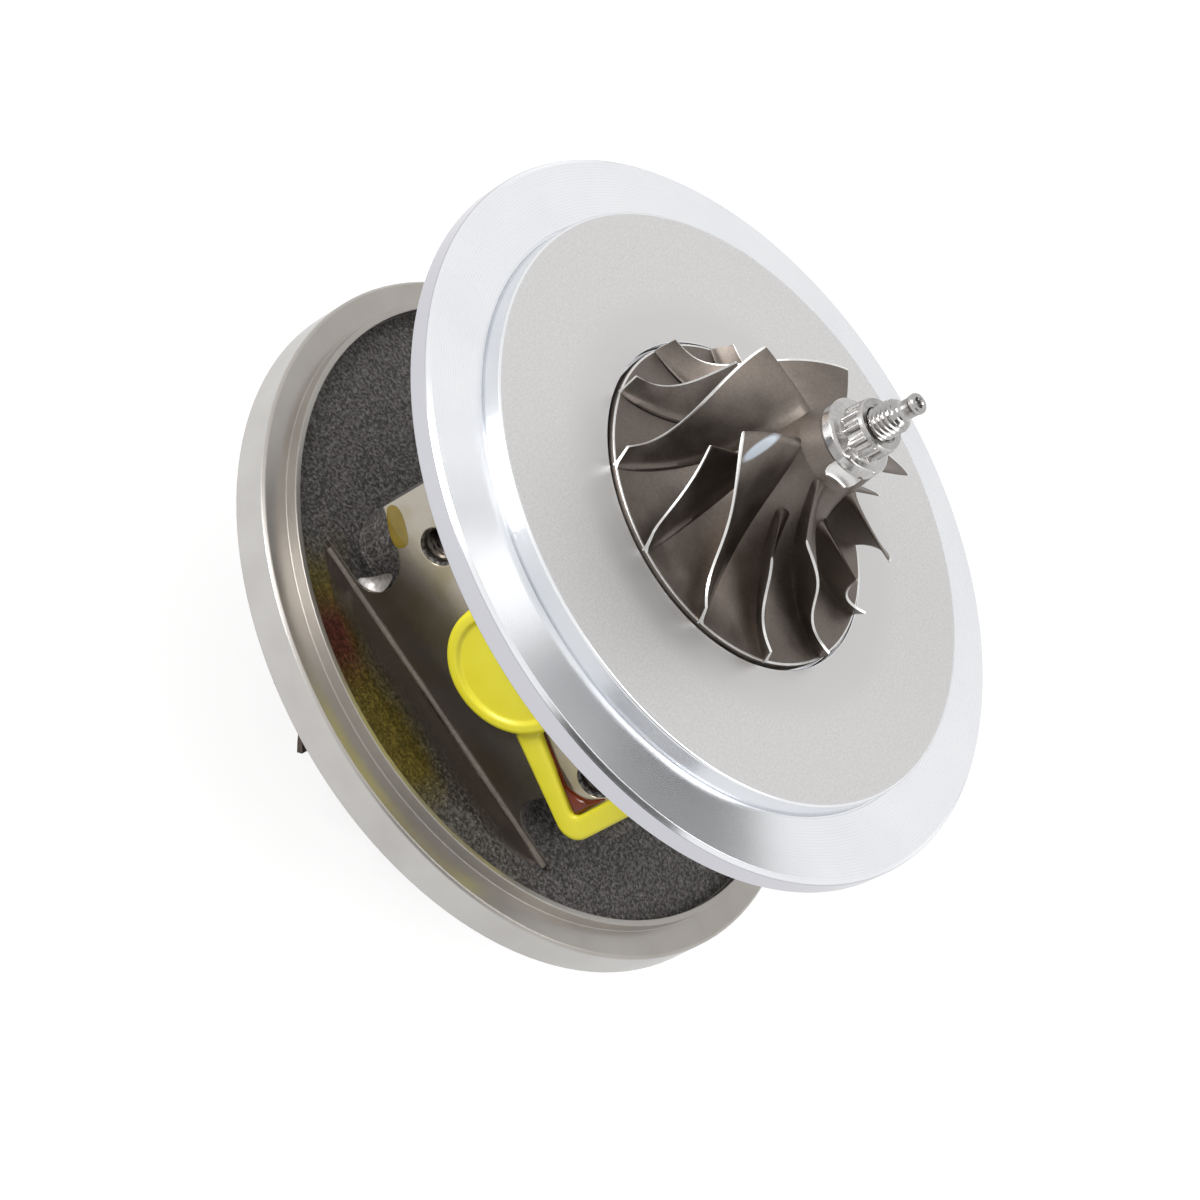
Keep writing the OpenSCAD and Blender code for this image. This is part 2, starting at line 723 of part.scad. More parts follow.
// Floating bush with oil holes round its middle
module journal_bearing(mid_z) {
    color("goldenrod") difference() {
        tube(bearing_out_r, bearing_in_r, mid_z - bearing_h / 2, mid_z + bearing_h / 2);
        for (i = [0 : bearing_holes - 1]) translate([0, 0, mid_z])
            rotate([90, 0, 360 * i / bearing_holes]) cylinder(h = bearing_out_r + over, d = bearing_hole_d);
    }
}

module upper_journal_bearing() {
    journal_bearing(upper_bearing_z);
}

module lower_journal_bearing() {
    journal_bearing(lower_bearing_z);
}

module retaining_rings() {
    outer_r = groove_r - fit_gap;
    color("dimgray") at_rings() open_ring(outer_r, outer_r - ring_w, ring_t, ring_opening, 0);
}

// Outline of the threaded end, one tooth for each turn
function thread_teeth(low, high) = let (
    turns = floor((high - low) / thread_pitch),
    depth = tooth_share * thread_pitch
) [
    for (i = [0 : turns - 1], side = [0, 1])
        [stub_r - depth * side, low + (i + side / 2) * thread_pitch]
];

module rotor_shaft() {
    hub_r = seal_hub_d / 2;
    relief_r = relief_d / 2;
    tip_r = tip_d / 2;
    rim_r = tip_rim_d / 2;
    dimple_r = tip_r / 2;
    color("lightgray") difference() {
        rotate_extrude() polygon(concat([
            [0, wheel_joint_z],
            [hub_r, wheel_joint_z],
            [hub_r, seal_hub_z],
            [journal_r, seal_hub_z],
            [journal_r, lower_bearing_z + bearing_h / 2],
            [relief_r, lower_bearing_z + bearing_h / 2 + ring_t],
            [relief_r, upper_bearing_z - bearing_h / 2 - ring_t],
            [journal_r, upper_bearing_z - bearing_h / 2],
            [journal_r, shoulder_z],
            [stub_r, shoulder_z]
        ], thread_teeth(wheel_top_z, thread_top_z), [
            [stub_r, thread_top_z - thread_pitch],
            [tip_r, thread_top_z],
            [tip_r, tip_z - 2 * (rim_r - tip_r) - tip_r / 2],
            [rim_r, tip_z - tip_r / 2],
            [rim_r, tip_z],
            [dimple_r, tip_z],
            [0, tip_z - dimple_r]
        ]));
        tube(hub_r + over, lower_seal_r - seal_w - seal_gap,
            lower_seal_z - seal_t / 2 - seal_gap, lower_seal_z + seal_t / 2 + seal_gap);
    }
}

module heat_shield() {
    rim_r = recess_d / 2 - sleeve_gap * 2;
    flat_r = shield_flat_d / 2;
    hole_r = nose_d / 2 + wheel_gap;
    wall_r = rim_r - shield_rim_w;
    top_z = nose_z + free_gap;
    low_z = top_z - shield_t;
    color("silver") rotate_extrude() polygon([
        [hole_r, low_z],
        [flat_r, low_z],
        [wall_r + shield_t, recess_z - shield_t],
        [rim_r, recess_z - shield_t],
        [rim_r, recess_z],
        [wall_r, recess_z],
        [flat_r - shield_t, top_z],
        [hole_r, top_z]
    ]);
}

// Point on a rounded quarter path from 0 to 1; a higher power gives a squarer corner
function quarter(m, power) = let (
    c = cos(90 * m),
    s = sin(90 * m),
    size = pow(pow(c, power) + pow(s, power), 1 / power)
) [c / size, s / size];

// Radius and height of the compressor hub and of the blades' tips, from inlet to exit
function wheel_hub(m) = let (
    q = quarter(m, hub_power),
    r = wheel_nose_d / 2,
    top_z = inlet_z + wheel_root_h
) [wheel_r - (wheel_r - r) * q[0], top_z - (top_z - wheel_rim_z) * q[1]];
function wheel_tip(m) = let (
    q = quarter(m, wheel_tip_power),
    r = inducer_d / 2,
    exit_z = wheel_rim_z + exit_w
) [wheel_r - (wheel_r - r) * q[0], inlet_z - (inlet_z - exit_z) * q[1]];

// Share of the wrap that a compressor blade has turned through
function wheel_turn(m) =
    early_turn * (1 - pow(1 - m, early_power)) + (1 - early_turn) * pow(m, late_power);

// Angle of a compressor blade at a station m and a height s from hub to tip
function wheel_angle(m, s) = let (f = wheel_turn(m))
    inlet_angle + blade_wrap * f - (1 - s) * (inlet_lean * (1 - f) - exit_lean * f);

// Radius and height of the turbine hub and of its blades' tips, from inlet to outlet
function turbine_hub(m) = let (q = quarter(m, hub_power), r = turbine_hub_d / 2)
    [turbine_d / 2 - (turbine_d / 2 - r) * q[1], turbine_end_z + turbine_blade_h * q[0]];
function turbine_tip(m) = let (q = quarter(m, turbine_tip_power), r = exducer_d / 2)
    [turbine_d / 2 - (turbine_d / 2 - r) * q[1],
     turbine_end_z + (turbine_blade_h - turbine_inlet_w) * q[0]];

// Angle of a turbine blade: straight at the rim and curved at the outlet
function turbine_angle(m) = turbine_wrap * pow(m, outlet_power);

// A point at a radius, an angle and a height
function polar(r, angle, z) = [r * cos(angle), r * sin(angle), z];

// Triangles that close a blade's grid of points, with its two sides one after the other
function blade_faces(steps, rows) = let (
    at = function(side, i, j) side * (steps + 1) * (rows + 1) + i * (rows + 1) + j
) [
    for (i = [0 : steps - 1], j = [0 : rows - 1]) each [
        [at(0, i, j), at(0, i + 1, j), at(0, i + 1, j + 1)],
        [at(0, i, j), at(0, i + 1, j + 1), at(0, i, j + 1)],
        [at(1, i, j), at(1, i + 1, j + 1), at(1, i + 1, j)],
        [at(1, i, j), at(1, i, j + 1), at(1, i + 1, j + 1)]
    ],
    for (i = [0 : steps - 1]) each [
        [at(0, i + 1, 0), at(0, i, 0), at(1, i, 0)],
        [at(0, i + 1, 0), at(1, i, 0), at(1, i + 1, 0)],
        [at(0, i, rows), at(0, i + 1, rows), at(1, i + 1, rows)],
        [at(0, i, rows), at(1, i + 1, rows), at(1, i, rows)]
    ],
    for (j = [0 : rows - 1]) each [
        [at(0, 0, j), at(0, 0, j + 1), at(1, 0, j + 1)],
        [at(0, 0, j), at(1, 0, j + 1), at(1, 0, j)],
        [at(0, steps, j + 1), at(0, steps, j), at(1, steps, j)],
        [at(0, steps, j + 1), at(1, steps, j), at(1, steps, j + 1)]
    ]
];

// One compressor blade from a starting station to the rim
module wheel_blade(start) {
    points = [
        for (side = [1, -1], i = [0 : blade_steps], j = [0 : blade_rows]) let (
            m = start + (1 - rim_stop - start) * i / blade_steps,
            s = -root_sink + (1 + root_sink) * j / blade_rows,
            hub = wheel_hub(m),
            place = hub + (wheel_tip(m) - hub) * s,
            thick = blade_root_t + (blade_tip_t - blade_root_t) * s
        ) polar(place[0], wheel_angle(m, s) + side * thick / place[0] * 90 / PI, place[1])
    ];
    polyhedron(points, blade_faces(blade_steps, blade_rows));
}

module compressor_wheel() {
    bore = stub_r + fit_gap;
    hub_steps = 16;
    boss_r = upper_seal_r - wheel_gap;
    end_r = nut_collar_d / 2;
    color("dimgray") {
        difference() {
            rotate_extrude() polygon(concat([
                [bore, wheel_seat_z],
                [boss_r, wheel_seat_z],
                [boss_r, wheel_back_z],
                [wheel_r, wheel_back_z]
            ], [
                for (i = [0 : hub_steps]) wheel_hub(1 - i / hub_steps)
            ], [
                [end_r, wheel_top_z],
                [bore, wheel_top_z]
            ]));
            rotate(balance_angle) translate([2 * end_r - balance_cut, 0, wheel_top_z - balance_h])
                cylinder(h = balance_h + over, r = end_r);
        }
        for (i = [0 : full_blades - 1]) rotate(360 * i / full_blades) {
            wheel_blade(0);
            rotate(180 / full_blades) wheel_blade(splitter_start);
        }
    }
}

module compressor_nut() {
    bore = stub_r + fit_gap;
    collar_r = nut_collar_d / 2;
    points_r = nut_flats / 2 / cos(30);
    cone_z = wheel_top_z + nut_collar_h;
    color("whitesmoke") difference() {
        union() {
            tube(collar_r, bore, wheel_top_z, cone_z);
            translate([0, 0, cone_z]) cylinder(h = nut_cone_h, r1 = collar_r, r2 = points_r);
            for (turn = [0, 30]) rotate(turn) translate([0, 0, cone_z])
                cylinder(h = nut_top_z - cone_z, r = points_r, $fn = 6);
        }
        tube(bore, 0, wheel_top_z - over, nut_top_z + over);
    }
}

// One turbine blade from the rim to the outlet
module turbine_blade() {
    points = [
        for (side = [1, -1], i = [0 : blade_steps], j = [0 : blade_rows]) let (
            m = rim_stop + (1 - rim_stop) * i / blade_steps,
            s = -root_sink + (1 + root_sink) * j / blade_rows,
            hub = turbine_hub(m),
            place = hub + (turbine_tip(m) - hub) * s,
            thick = turbine_root_t + (turbine_tip_t - turbine_root_t) * s
        ) polar(place[0], turbine_angle(m) + side * thick / place[0] * 90 / PI, place[1])
    ];
    polyhedron(points, blade_faces(blade_steps, blade_rows));
}

module turbine_wheel() {
    hub_steps = 12;
    color("saddlebrown") {
        rotate_extrude() polygon(concat([
            [0, wheel_joint_z],
            [seal_hub_d / 2, wheel_joint_z],
            [turbine_d / 2, turbine_hub_z + turbine_disc_t / 2]
        ], [
            for (i = [0 : hub_steps]) turbine_hub(i / hub_steps)
        ], [
            [turbine_boss_d / 2, turbine_end_z - edge_break],
            [turbine_boss_d / 2, turbine_boss_z],
            [0, turbine_boss_z]
        ]));
        for (i = [0 : turbine_blades - 1]) rotate(360 * i / turbine_blades) turbine_blade();
    }
}

// Rounded outline of the pull loop or of its window, from a neck to an end
module loop_outline(start, finish, neck, end, corner) {
    steps = 6;
    polygon([
        each [[start, -neck / 2], [finish - corner, -end / 2]],
        for (i = [1 : steps]) [finish - corner + corner * sin(90 * i / steps),
            -end / 2 + corner - corner * cos(90 * i / steps)],
        for (i = [0 : steps]) [finish - corner + corner * cos(90 * i / steps),
            end / 2 - corner + corner * sin(90 * i / steps)],
        [start, neck / 2]
    ]);
}

module drain_cap() {
    shank_r = drain_d / 2 - cap_gap;
    color("yellow") translate([0, 0, drain_z]) out_of_drain() {
        rotate_extrude() polygon([
            [shank_r - cap_wall, pad_reach - cap_shank_h],
            [shank_r, pad_reach - cap_shank_h],
            [shank_r, pad_reach],
            [cap_r, pad_reach],
            [cap_r, pad_reach + cap_t - edge_break],
            [cap_r - edge_break, pad_reach + cap_t],
            [cap_r - cap_rim_w, pad_reach + cap_t],
            [cap_r - cap_rim_w - cap_sink, pad_reach + cap_t - cap_sink],
            [0, pad_reach + cap_t - cap_sink],
            [0, pad_reach],
            [shank_r - cap_wall, pad_reach]
        ]);
        translate([0, 0, pad_reach]) linear_extrude(loop_t) difference() {
            loop_outline(cap_r - cap_rim_w, loop_reach, loop_neck_w, loop_w, loop_corner);
            loop_outline(cap_r, loop_reach - loop_strip, loop_neck_w - 2 * loop_strip,
                loop_w - 2 * loop_strip, window_corner);
        }
    }
}

centre_housing();
backplate();
backplate_o_ring();
backplate_bolts();
thrust_bearing();
thrust_dowels();
oil_deflector();
thrust_collar();
flinger_spacer();
compressor_seal_ring();
turbine_seal_ring();
upper_journal_bearing();
lower_journal_bearing();
retaining_rings();
rotor_shaft();
turbine_wheel();
heat_shield();
compressor_wheel();
compressor_nut();
drain_cap();
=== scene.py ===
# %% [markdown]
# # A turbo cartridge
# The cartridge is the core of a turbocharger: a cast iron bearing housing, a turned aluminium
# backplate, and one shaft with a compressor wheel at the top and a turbine wheel at the bottom.
# The CAD model gives the frame, in metres, with the shaft on Z. Pieces whose CAD shape is right
# only get a finish here. Pieces with curved blades, threads or soft edges are worked out again as
# numpy surfaces that stand in the same places.

import bmesh
import bpy
import numpy as np
from mathutils import Matrix, Vector


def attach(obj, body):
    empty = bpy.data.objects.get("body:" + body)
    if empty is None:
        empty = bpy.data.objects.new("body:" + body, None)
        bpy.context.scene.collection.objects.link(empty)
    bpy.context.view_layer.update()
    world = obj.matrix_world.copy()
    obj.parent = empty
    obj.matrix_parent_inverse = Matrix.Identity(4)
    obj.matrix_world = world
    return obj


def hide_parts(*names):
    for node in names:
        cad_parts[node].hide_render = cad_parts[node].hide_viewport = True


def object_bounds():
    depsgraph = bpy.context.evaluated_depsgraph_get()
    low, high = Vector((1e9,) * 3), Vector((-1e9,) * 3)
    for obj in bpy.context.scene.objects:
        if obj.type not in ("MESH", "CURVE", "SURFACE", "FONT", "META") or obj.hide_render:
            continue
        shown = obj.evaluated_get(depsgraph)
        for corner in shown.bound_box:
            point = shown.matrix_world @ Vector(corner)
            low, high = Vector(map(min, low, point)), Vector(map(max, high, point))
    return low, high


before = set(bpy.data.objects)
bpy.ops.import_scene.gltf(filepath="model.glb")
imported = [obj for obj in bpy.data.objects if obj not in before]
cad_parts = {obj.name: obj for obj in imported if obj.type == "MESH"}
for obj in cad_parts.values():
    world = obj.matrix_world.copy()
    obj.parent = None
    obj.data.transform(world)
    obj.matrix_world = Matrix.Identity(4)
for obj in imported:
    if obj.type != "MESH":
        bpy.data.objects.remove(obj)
cad_box = [list(corner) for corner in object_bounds()]
MM = 0.001
print("CAD box in mm:", np.round(np.array(cad_box) / MM, 1).tolist())

# %% [markdown]
# ## Camera
# The photograph looks down on the compressor end from the drain side with a long lens, and the
# camera is rolled so that the shaft lies across the picture. Two angles give the direction, a
# third gives the roll, and two small offsets in the picture plane give the framing, so the lens
# needs no shift.

# %% Camera
azimuth, elevation, roll = np.radians((-8.0, 37.42, 61.01))
EYE_DISTANCE = 694.8
EYE_OFFSET = (16.66, 11.98)
back = np.array((
    np.sin(azimuth) * np.cos(elevation), -np.cos(azimuth) * np.cos(elevation), np.sin(elevation)))
level = np.array((np.cos(azimuth), np.sin(azimuth), 0.0))
upright = np.cross(back, level)
right = np.cos(roll) * level + np.sin(roll) * upright
up = np.cos(roll) * upright - np.sin(roll) * level
eye = (EYE_DISTANCE * back - EYE_OFFSET[0] * right - EYE_OFFSET[1] * up) * MM

lens = bpy.data.cameras.new("photo_camera")
lens.sensor_width = 36.0
lens.lens = 149.6
lens.clip_start = 0.01
camera = bpy.data.objects.new("photo_camera", lens)
pose = np.eye(4)
pose[:3] = np.stack([right, up, back, eye], -1)
camera.matrix_world = Matrix(pose.tolist())
bpy.context.scene.collection.objects.link(camera)
bpy.context.scene.camera = camera
bpy.context.scene.view_settings.view_transform = "Standard"
print("Camera at", np.round(eye, 3).tolist(), "m")

# %% [markdown]
# ## Helpers for finishes
# A finish is a small network of shader nodes. One function turns a hex colour, which is written
# for a screen, into the linear light that the renderer counts in. Another adds a node, and sets
# or joins its sockets. The last two make an empty material, and one with the coordinates that
# every finish here reads.

# %% Finish helpers
def linear(code):
    """Linear colour of an sRGB hex code: the curve's upper branch, or a line near black."""
    rgb = np.array([int(code[i:i + 2], 16) for i in (1, 3, 5)]) / 255
    rgb = np.where(rgb <= 0.04045, rgb / 12.92, ((rgb + 0.055) / 1.055) ** 2.4)
    return (*rgb.tolist(), 1.0)


def add(tree, kind, sockets, **settings):
    """Adds a node of a kind, with its settings, and sets or links each socket that is given."""
    node = tree.nodes.new("ShaderNode" + kind)
    for key, value in settings.items():
        setattr(node, key, value)
    for key, value in sockets.items():
        if isinstance(value, bpy.types.NodeSocket):
            tree.links.new(value, node.inputs[key])
        else:
            node.inputs[key].default_value = value
    return node


def empty(name):
    """A material without nodes, and its node tree."""
    material = bpy.data.materials.new(name)
    material.use_nodes = True
    material.node_tree.nodes.clear()
    return material, material.node_tree


def start(name):
    """An empty material, its node tree, and Object coordinates with their x, y, z and radius."""
    material, tree = empty(name)
    place = add(tree, "TexCoord", {}).outputs["Object"]
    x, y, z = add(tree, "SeparateXYZ", {0: place}).outputs
    flat = add(tree, "VectorMath", {0: place, 1: (1, 1, 0)}, operation="MULTIPLY").outputs[0]
    radius = add(tree, "VectorMath", {0: flat}, operation="LENGTH").outputs[1]
    return material, tree, place, x, y, z, radius


print("Helpers ready; #808080 is", round(linear("#808080")[0], 3), "in linear light")

# %% [markdown]
# ## Turned aluminium
# The backplate is turned from a casting. The tool leaves fine rings, and a reflection on such
# rings is stretched across them into a fan, as on the bottom of a new pan. Two things make the
# fan here. Each ring is a low slope that leans outwards, so its mirror image turns with the angle
# round the shaft. Anisotropy then spreads it: the tangent runs round the shaft, and a quarter
# turn points the spread across the rings. The outer wall was cut last and is a little duller.

# %% Turned aluminium
RING_PITCH, RING_SLOPE = 0.446, 0.21
WALL_RADIUS, CLOUD = 54.9, 14
turned, t, place, *_, radius = start("turned_aluminium")
cloud = add(t, "TexNoise", {"Vector": place, "Scale": 1 / (CLOUD * MM), "Detail": 2.0}).outputs[0]
face_colour = add(t, "Mix", {
    0: cloud, 6: linear("#e4e6ea"), 7: linear("#f1f2f4")}, data_type="RGBA").outputs[2]
wall = add(t, "Math", {0: radius, 1: WALL_RADIUS * MM}, operation="GREATER_THAN").outputs[0]
colour = add(t, "Mix", {
    0: wall, 6: face_colour, 7: linear("#bdbdc3")}, data_type="RGBA").outputs[2]
# The real rings are finer than a pixel, so they are drawn almost half a millimetre apart. The
# pitch divides the radius of no wall, so each wall stays on one slope
rings = add(t, "Math", {0: radius, 1: RING_PITCH * MM}, operation="DIVIDE").outputs[0]
rings = add(t, "Math", {0: rings}, operation="FRACT").outputs[0]
rings = add(t, "Math", {0: 1.0, 1: rings}, operation="SUBTRACT").outputs[0]
bump = add(t, "Bump", {
    "Height": rings, "Strength": 1.0, "Distance": RING_SLOPE * RING_PITCH * MM}).outputs[0]
around = add(t, "VectorMath", {0: (0, 0, 1), 1: place}, operation="CROSS_PRODUCT").outputs[0]
shader = add(t, "BsdfPrincipled", {
    "Base Color": colour, "Metallic": 1.0, "Roughness": 0.21, "Anisotropic": 0.6,
    "Anisotropic Rotation": 0.25, "Tangent": around, "Normal": bump})
add(t, "OutputMaterial", {0: shader.outputs[0]})
print("Finish:", turned.name)

# %% [markdown]
# ## Blasted aluminium
# The face round the wheel is bead blasted after turning. The beads leave shallow dents too small
# to count, so the metal is a matt light grey with a faint sparkle. A ring next to the wheel was
# masked from part of the blast, and is a little smoother and darker.

# %% Blasted aluminium
BEAD, DENT_DEPTH = 0.36, 0.03
RING_OUT, RING_FADE = 31.0, 2
blasted, t, place, *_, radius = start("bead_blasted_aluminium")
beads = add(t, "TexNoise", {
    "Vector": place, "Scale": 1 / (BEAD * MM), "Detail": 3.0, "Roughness": 0.7}).outputs[0]
tone = add(t, "MapRange", {0: beads, 1: 0.3, 2: 0.7}).outputs[0]
dents = add(t, "Mix", {
    0: tone, 6: linear("#c9c8c7"), 7: linear("#dad9d9")}, data_type="RGBA").outputs[2]
open_face = add(t, "MapRange", {
    0: radius, 1: (RING_OUT - RING_FADE) * MM, 2: (RING_OUT + RING_FADE) * MM}).outputs[0]
colour = add(t, "Mix", {0: open_face, 6: linear("#cecdcc"), 7: dents}, data_type="RGBA").outputs[2]
matt = add(t, "MapRange", {0: open_face, 3: 0.47, 4: 0.52}).outputs[0]
bump = add(t, "Bump", {"Height": beads, "Strength": 0.3, "Distance": DENT_DEPTH * MM}).outputs[0]
shader = add(t, "BsdfPrincipled", {
    "Base Color": colour, "Metallic": 1.0, "Roughness": matt, "Normal": bump})
add(t, "OutputMaterial", {0: shader.outputs[0]})
print("Finish:", blasted.name)

# %% [markdown]
# ## Cast iron: where it is machined
# The housing is grey iron cast in sand. Its rim, its rear and its drain pad are machined. The CAD
# mesh is one piece, so the shader finds these places by their planes and radii: it multiplies
# tests that are 1 on the right side of a plane and 0 on the other.

# %% Cast iron: masks
RIM_RADIUS, RIM_SIDE, LIP_INSIDE = 47.62, 52.6, 47.0
PAD_PLANE, PAD_END, REAR_PLANE = -32.42, 25.6, -39.55
FLOOR_LOW, FLOOR_HIGH = -35.2, -34.9
TRACK_FADES, TRACK_ENDS = -34.5, -38.5
iron, t, place, x, y, z, radius = start("sand_cast_and_machined_iron")
rim = add(t, "Math", {0: radius, 1: RIM_RADIUS * MM}, operation="GREATER_THAN").outputs[0]
rim_side = add(t, "Math", {0: radius, 1: RIM_SIDE * MM}, operation="GREATER_THAN").outputs[0]
rear = add(t, "Math", {0: z, 1: REAR_PLANE * MM}, operation="LESS_THAN").outputs[0]
front = add(t, "Math", {0: y, 1: PAD_PLANE * MM}, operation="LESS_THAN").outputs[0]
above = add(t, "Math", {0: z, 1: FLOOR_LOW * MM}, operation="GREATER_THAN").outputs[0]
inner = add(t, "Math", {0: radius, 1: LIP_INSIDE * MM}, operation="LESS_THAN").outputs[0]
# The cutter stopped short of one end of the pad, and the cast skin is left there
milled = add(t, "Math", {0: x, 1: PAD_END * MM}, operation="LESS_THAN").outputs[0]
pad = add(t, "Math", {0: front, 1: above}, operation="MULTIPLY").outputs[0]
pad = add(t, "Math", {0: pad, 1: inner}, operation="MULTIPLY").outputs[0]
pad = add(t, "Math", {0: pad, 1: milled}, operation="MULTIPLY").outputs[0]
# The cutter left the floor below the pad slowly, so its smooth track fades into the cast skin
low = add(t, "Math", {0: z, 1: FLOOR_HIGH * MM}, operation="LESS_THAN").outputs[0]
floor_part = add(t, "Math", {0: pad, 1: low}, operation="MULTIPLY").outputs[0]
faded = add(t, "MapRange", {0: y, 1: TRACK_FADES * MM, 2: TRACK_ENDS * MM}).outputs[0]
faded = add(t, "Math", {0: faded, 1: floor_part}, operation="MULTIPLY").outputs[0]
machined = add(t, "Math", {0: rim, 1: rear}, operation="MAXIMUM").outputs[0]
machined = add(t, "Math", {0: machined, 1: pad}, operation="MAXIMUM").outputs[0]
machined = add(t, "Math", {0: machined, 1: faded}, operation="SUBTRACT").outputs[0]
print("Finish begun:", iron.name)

# %% [markdown]
# ## Cast iron: skin and cut metal
# Sand leaves a dark skin of fine grains, drawn here as noise half a millimetre across. Cut iron
# is a smooth warm grey. Oil has stained the pad olive. Painted shade darkens the pad to dark
# brown towards its foot, and the floor below the pad is dark brown too.

# %% Cast iron: colours
SAND, LUMP, PATCH = 0.5, 2.2, 9
FOOT_TOP, FOOT_LOW = -21, -31
sand = add(t, "TexNoise", {
    "Vector": place, "Scale": 1 / (SAND * MM), "Detail": 6.0, "Roughness": 0.75}).outputs[0]
lumps = add(t, "TexNoise", {"Vector": place, "Scale": 1 / (LUMP * MM), "Detail": 3.0}).outputs[0]
patches = add(t, "TexNoise", {
    "Vector": place, "Scale": 1 / (PATCH * MM), "Detail": 3.0}).outputs[0]
cast_tone = add(t, "MapRange", {0: sand, 1: 0.44, 2: 0.74}).outputs[0]
cast_colour = add(t, "Mix", {
    0: cast_tone, 6: linear("#383533"), 7: linear("#9c9895")}, data_type="RGBA").outputs[2]
cut_colour = add(t, "Mix", {
    0: patches, 6: linear("#a09b95"), 7: linear("#b5b0aa")}, data_type="RGBA").outputs[2]
stain = add(t, "MapRange", {0: patches, 1: 0.42, 2: 0.62}).outputs[0]
pad_colour = add(t, "Mix", {
    0: stain, 6: linear("#a8a196"), 7: linear("#978d72")}, data_type="RGBA").outputs[2]
# Painted shade: dark brown towards the pad's foot, by the floor
shaded_pad_foot = add(t, "MapRange", {
    0: z, 1: FOOT_TOP * MM, 2: FOOT_LOW * MM, 3: 0.0, 4: 0.75}).outputs[0]
pad_colour = add(t, "Mix", {
    0: shaded_pad_foot, 6: pad_colour, 7: linear("#403934")}, data_type="RGBA").outputs[2]
pad_colour = add(t, "Mix", {
    0: floor_part, 6: pad_colour, 7: linear("#6a6058")}, data_type="RGBA").outputs[2]
# Painted light: the rim's outer side is lighter than its face, for the light that falls on it
lit_side_colour = add(t, "Mix", {
    0: patches, 6: linear("#a9a6a3"), 7: linear("#c2c0bd")}, data_type="RGBA").outputs[2]
cut_colour = add(t, "Mix", {
    0: rim_side, 6: cut_colour, 7: lit_side_colour}, data_type="RGBA").outputs[2]
cut_colour = add(t, "Mix", {0: pad, 6: cut_colour, 7: pad_colour}, data_type="RGBA").outputs[2]
iron_colour = add(t, "Mix", {
    0: machined, 6: cast_colour, 7: cut_colour}, data_type="RGBA").outputs[2]
print("Sand grain:", SAND, "mm")

# %% [markdown]
# ## Cast iron: oil
# Oil that ran from the drain lies in the web along the lip. It is rust brown at one end and
# yellow green along the rest, and it shines. The angle round the shaft says where it lies, and
# the noise frays its edge.

# %% Cast iron: oil
# Each pair of angles, in degrees, or of radii, in mm, is where a stain begins and where it is full
OIL_START, OIL_END, OIL_OUT = np.radians((-138, -120)), np.radians((-72, -84)), (35.5, 42)
RUST_START, RUST_END, RUST_OUT = np.radians((-122, -115)), np.radians((-101, -109)), (40, 43)
angle = add(t, "Math", {0: y, 1: x}, operation="ARCTAN2").outputs[0]
first = add(t, "MapRange", {0: angle, 1: OIL_START[0], 2: OIL_START[1]}).outputs[0]
last = add(t, "MapRange", {0: angle, 1: OIL_END[0], 2: OIL_END[1]}).outputs[0]
outer = add(t, "MapRange", {0: radius, 1: OIL_OUT[0] * MM, 2: OIL_OUT[1] * MM}).outputs[0]
wet = add(t, "Math", {0: first, 1: last}, operation="MULTIPLY").outputs[0]
wet = add(t, "Math", {0: wet, 1: outer}, operation="MULTIPLY").outputs[0]
frayed = add(t, "Math", {0: patches, 1: 0.5}, operation="SUBTRACT").outputs[0]
wet = add(t, "Math", {0: wet, 1: frayed}, operation="ADD").outputs[0]
wet = add(t, "MapRange", {0: wet, 1: 0.25, 2: 0.95, 3: 0.0, 4: 0.9}).outputs[0]
dry = add(t, "Math", {0: 1.0, 1: machined}, operation="SUBTRACT").outputs[0]
wet = add(t, "Math", {0: wet, 1: dry}, operation="MULTIPLY").outputs[0]
before = add(t, "MapRange", {0: angle, 1: RUST_END[0], 2: RUST_END[1]}).outputs[0]
by_lip = add(t, "MapRange", {0: radius, 1: RUST_OUT[0] * MM, 2: RUST_OUT[1] * MM}).outputs[0]
after = add(t, "MapRange", {0: angle, 1: RUST_START[0], 2: RUST_START[1]}).outputs[0]
rust = add(t, "Math", {0: before, 1: by_lip}, operation="MULTIPLY").outputs[0]
rust = add(t, "Math", {0: rust, 1: after}, operation="MULTIPLY").outputs[0]
olive = add(t, "Mix", {
    0: cast_tone, 6: linear("#4a410f"), 7: linear("#927f24")}, data_type="RGBA").outputs[2]
brown = add(t, "Mix", {
    0: cast_tone, 6: linear("#3c1407"), 7: linear("#7a3010")}, data_type="RGBA").outputs[2]
oil_colour = add(t, "Mix", {0: rust, 6: olive, 7: brown}, data_type="RGBA").outputs[2]
colour = add(t, "Mix", {0: wet, 6: iron_colour, 7: oil_colour}, data_type="RGBA").outputs[2]
print("Oil lies over", np.degrees(OIL_END[0] - OIL_START[0]).round(), "degrees")

# %% [markdown]
# ## Cast iron: surface
# The cast skin is rough and dull, cut metal smoother, the pad smoothest, and oil fills the grain.
# Sand and larger lumps make the bump, which almost vanishes where the iron is machined. A Bevel
# node rounds the look of the edges, as wear does.

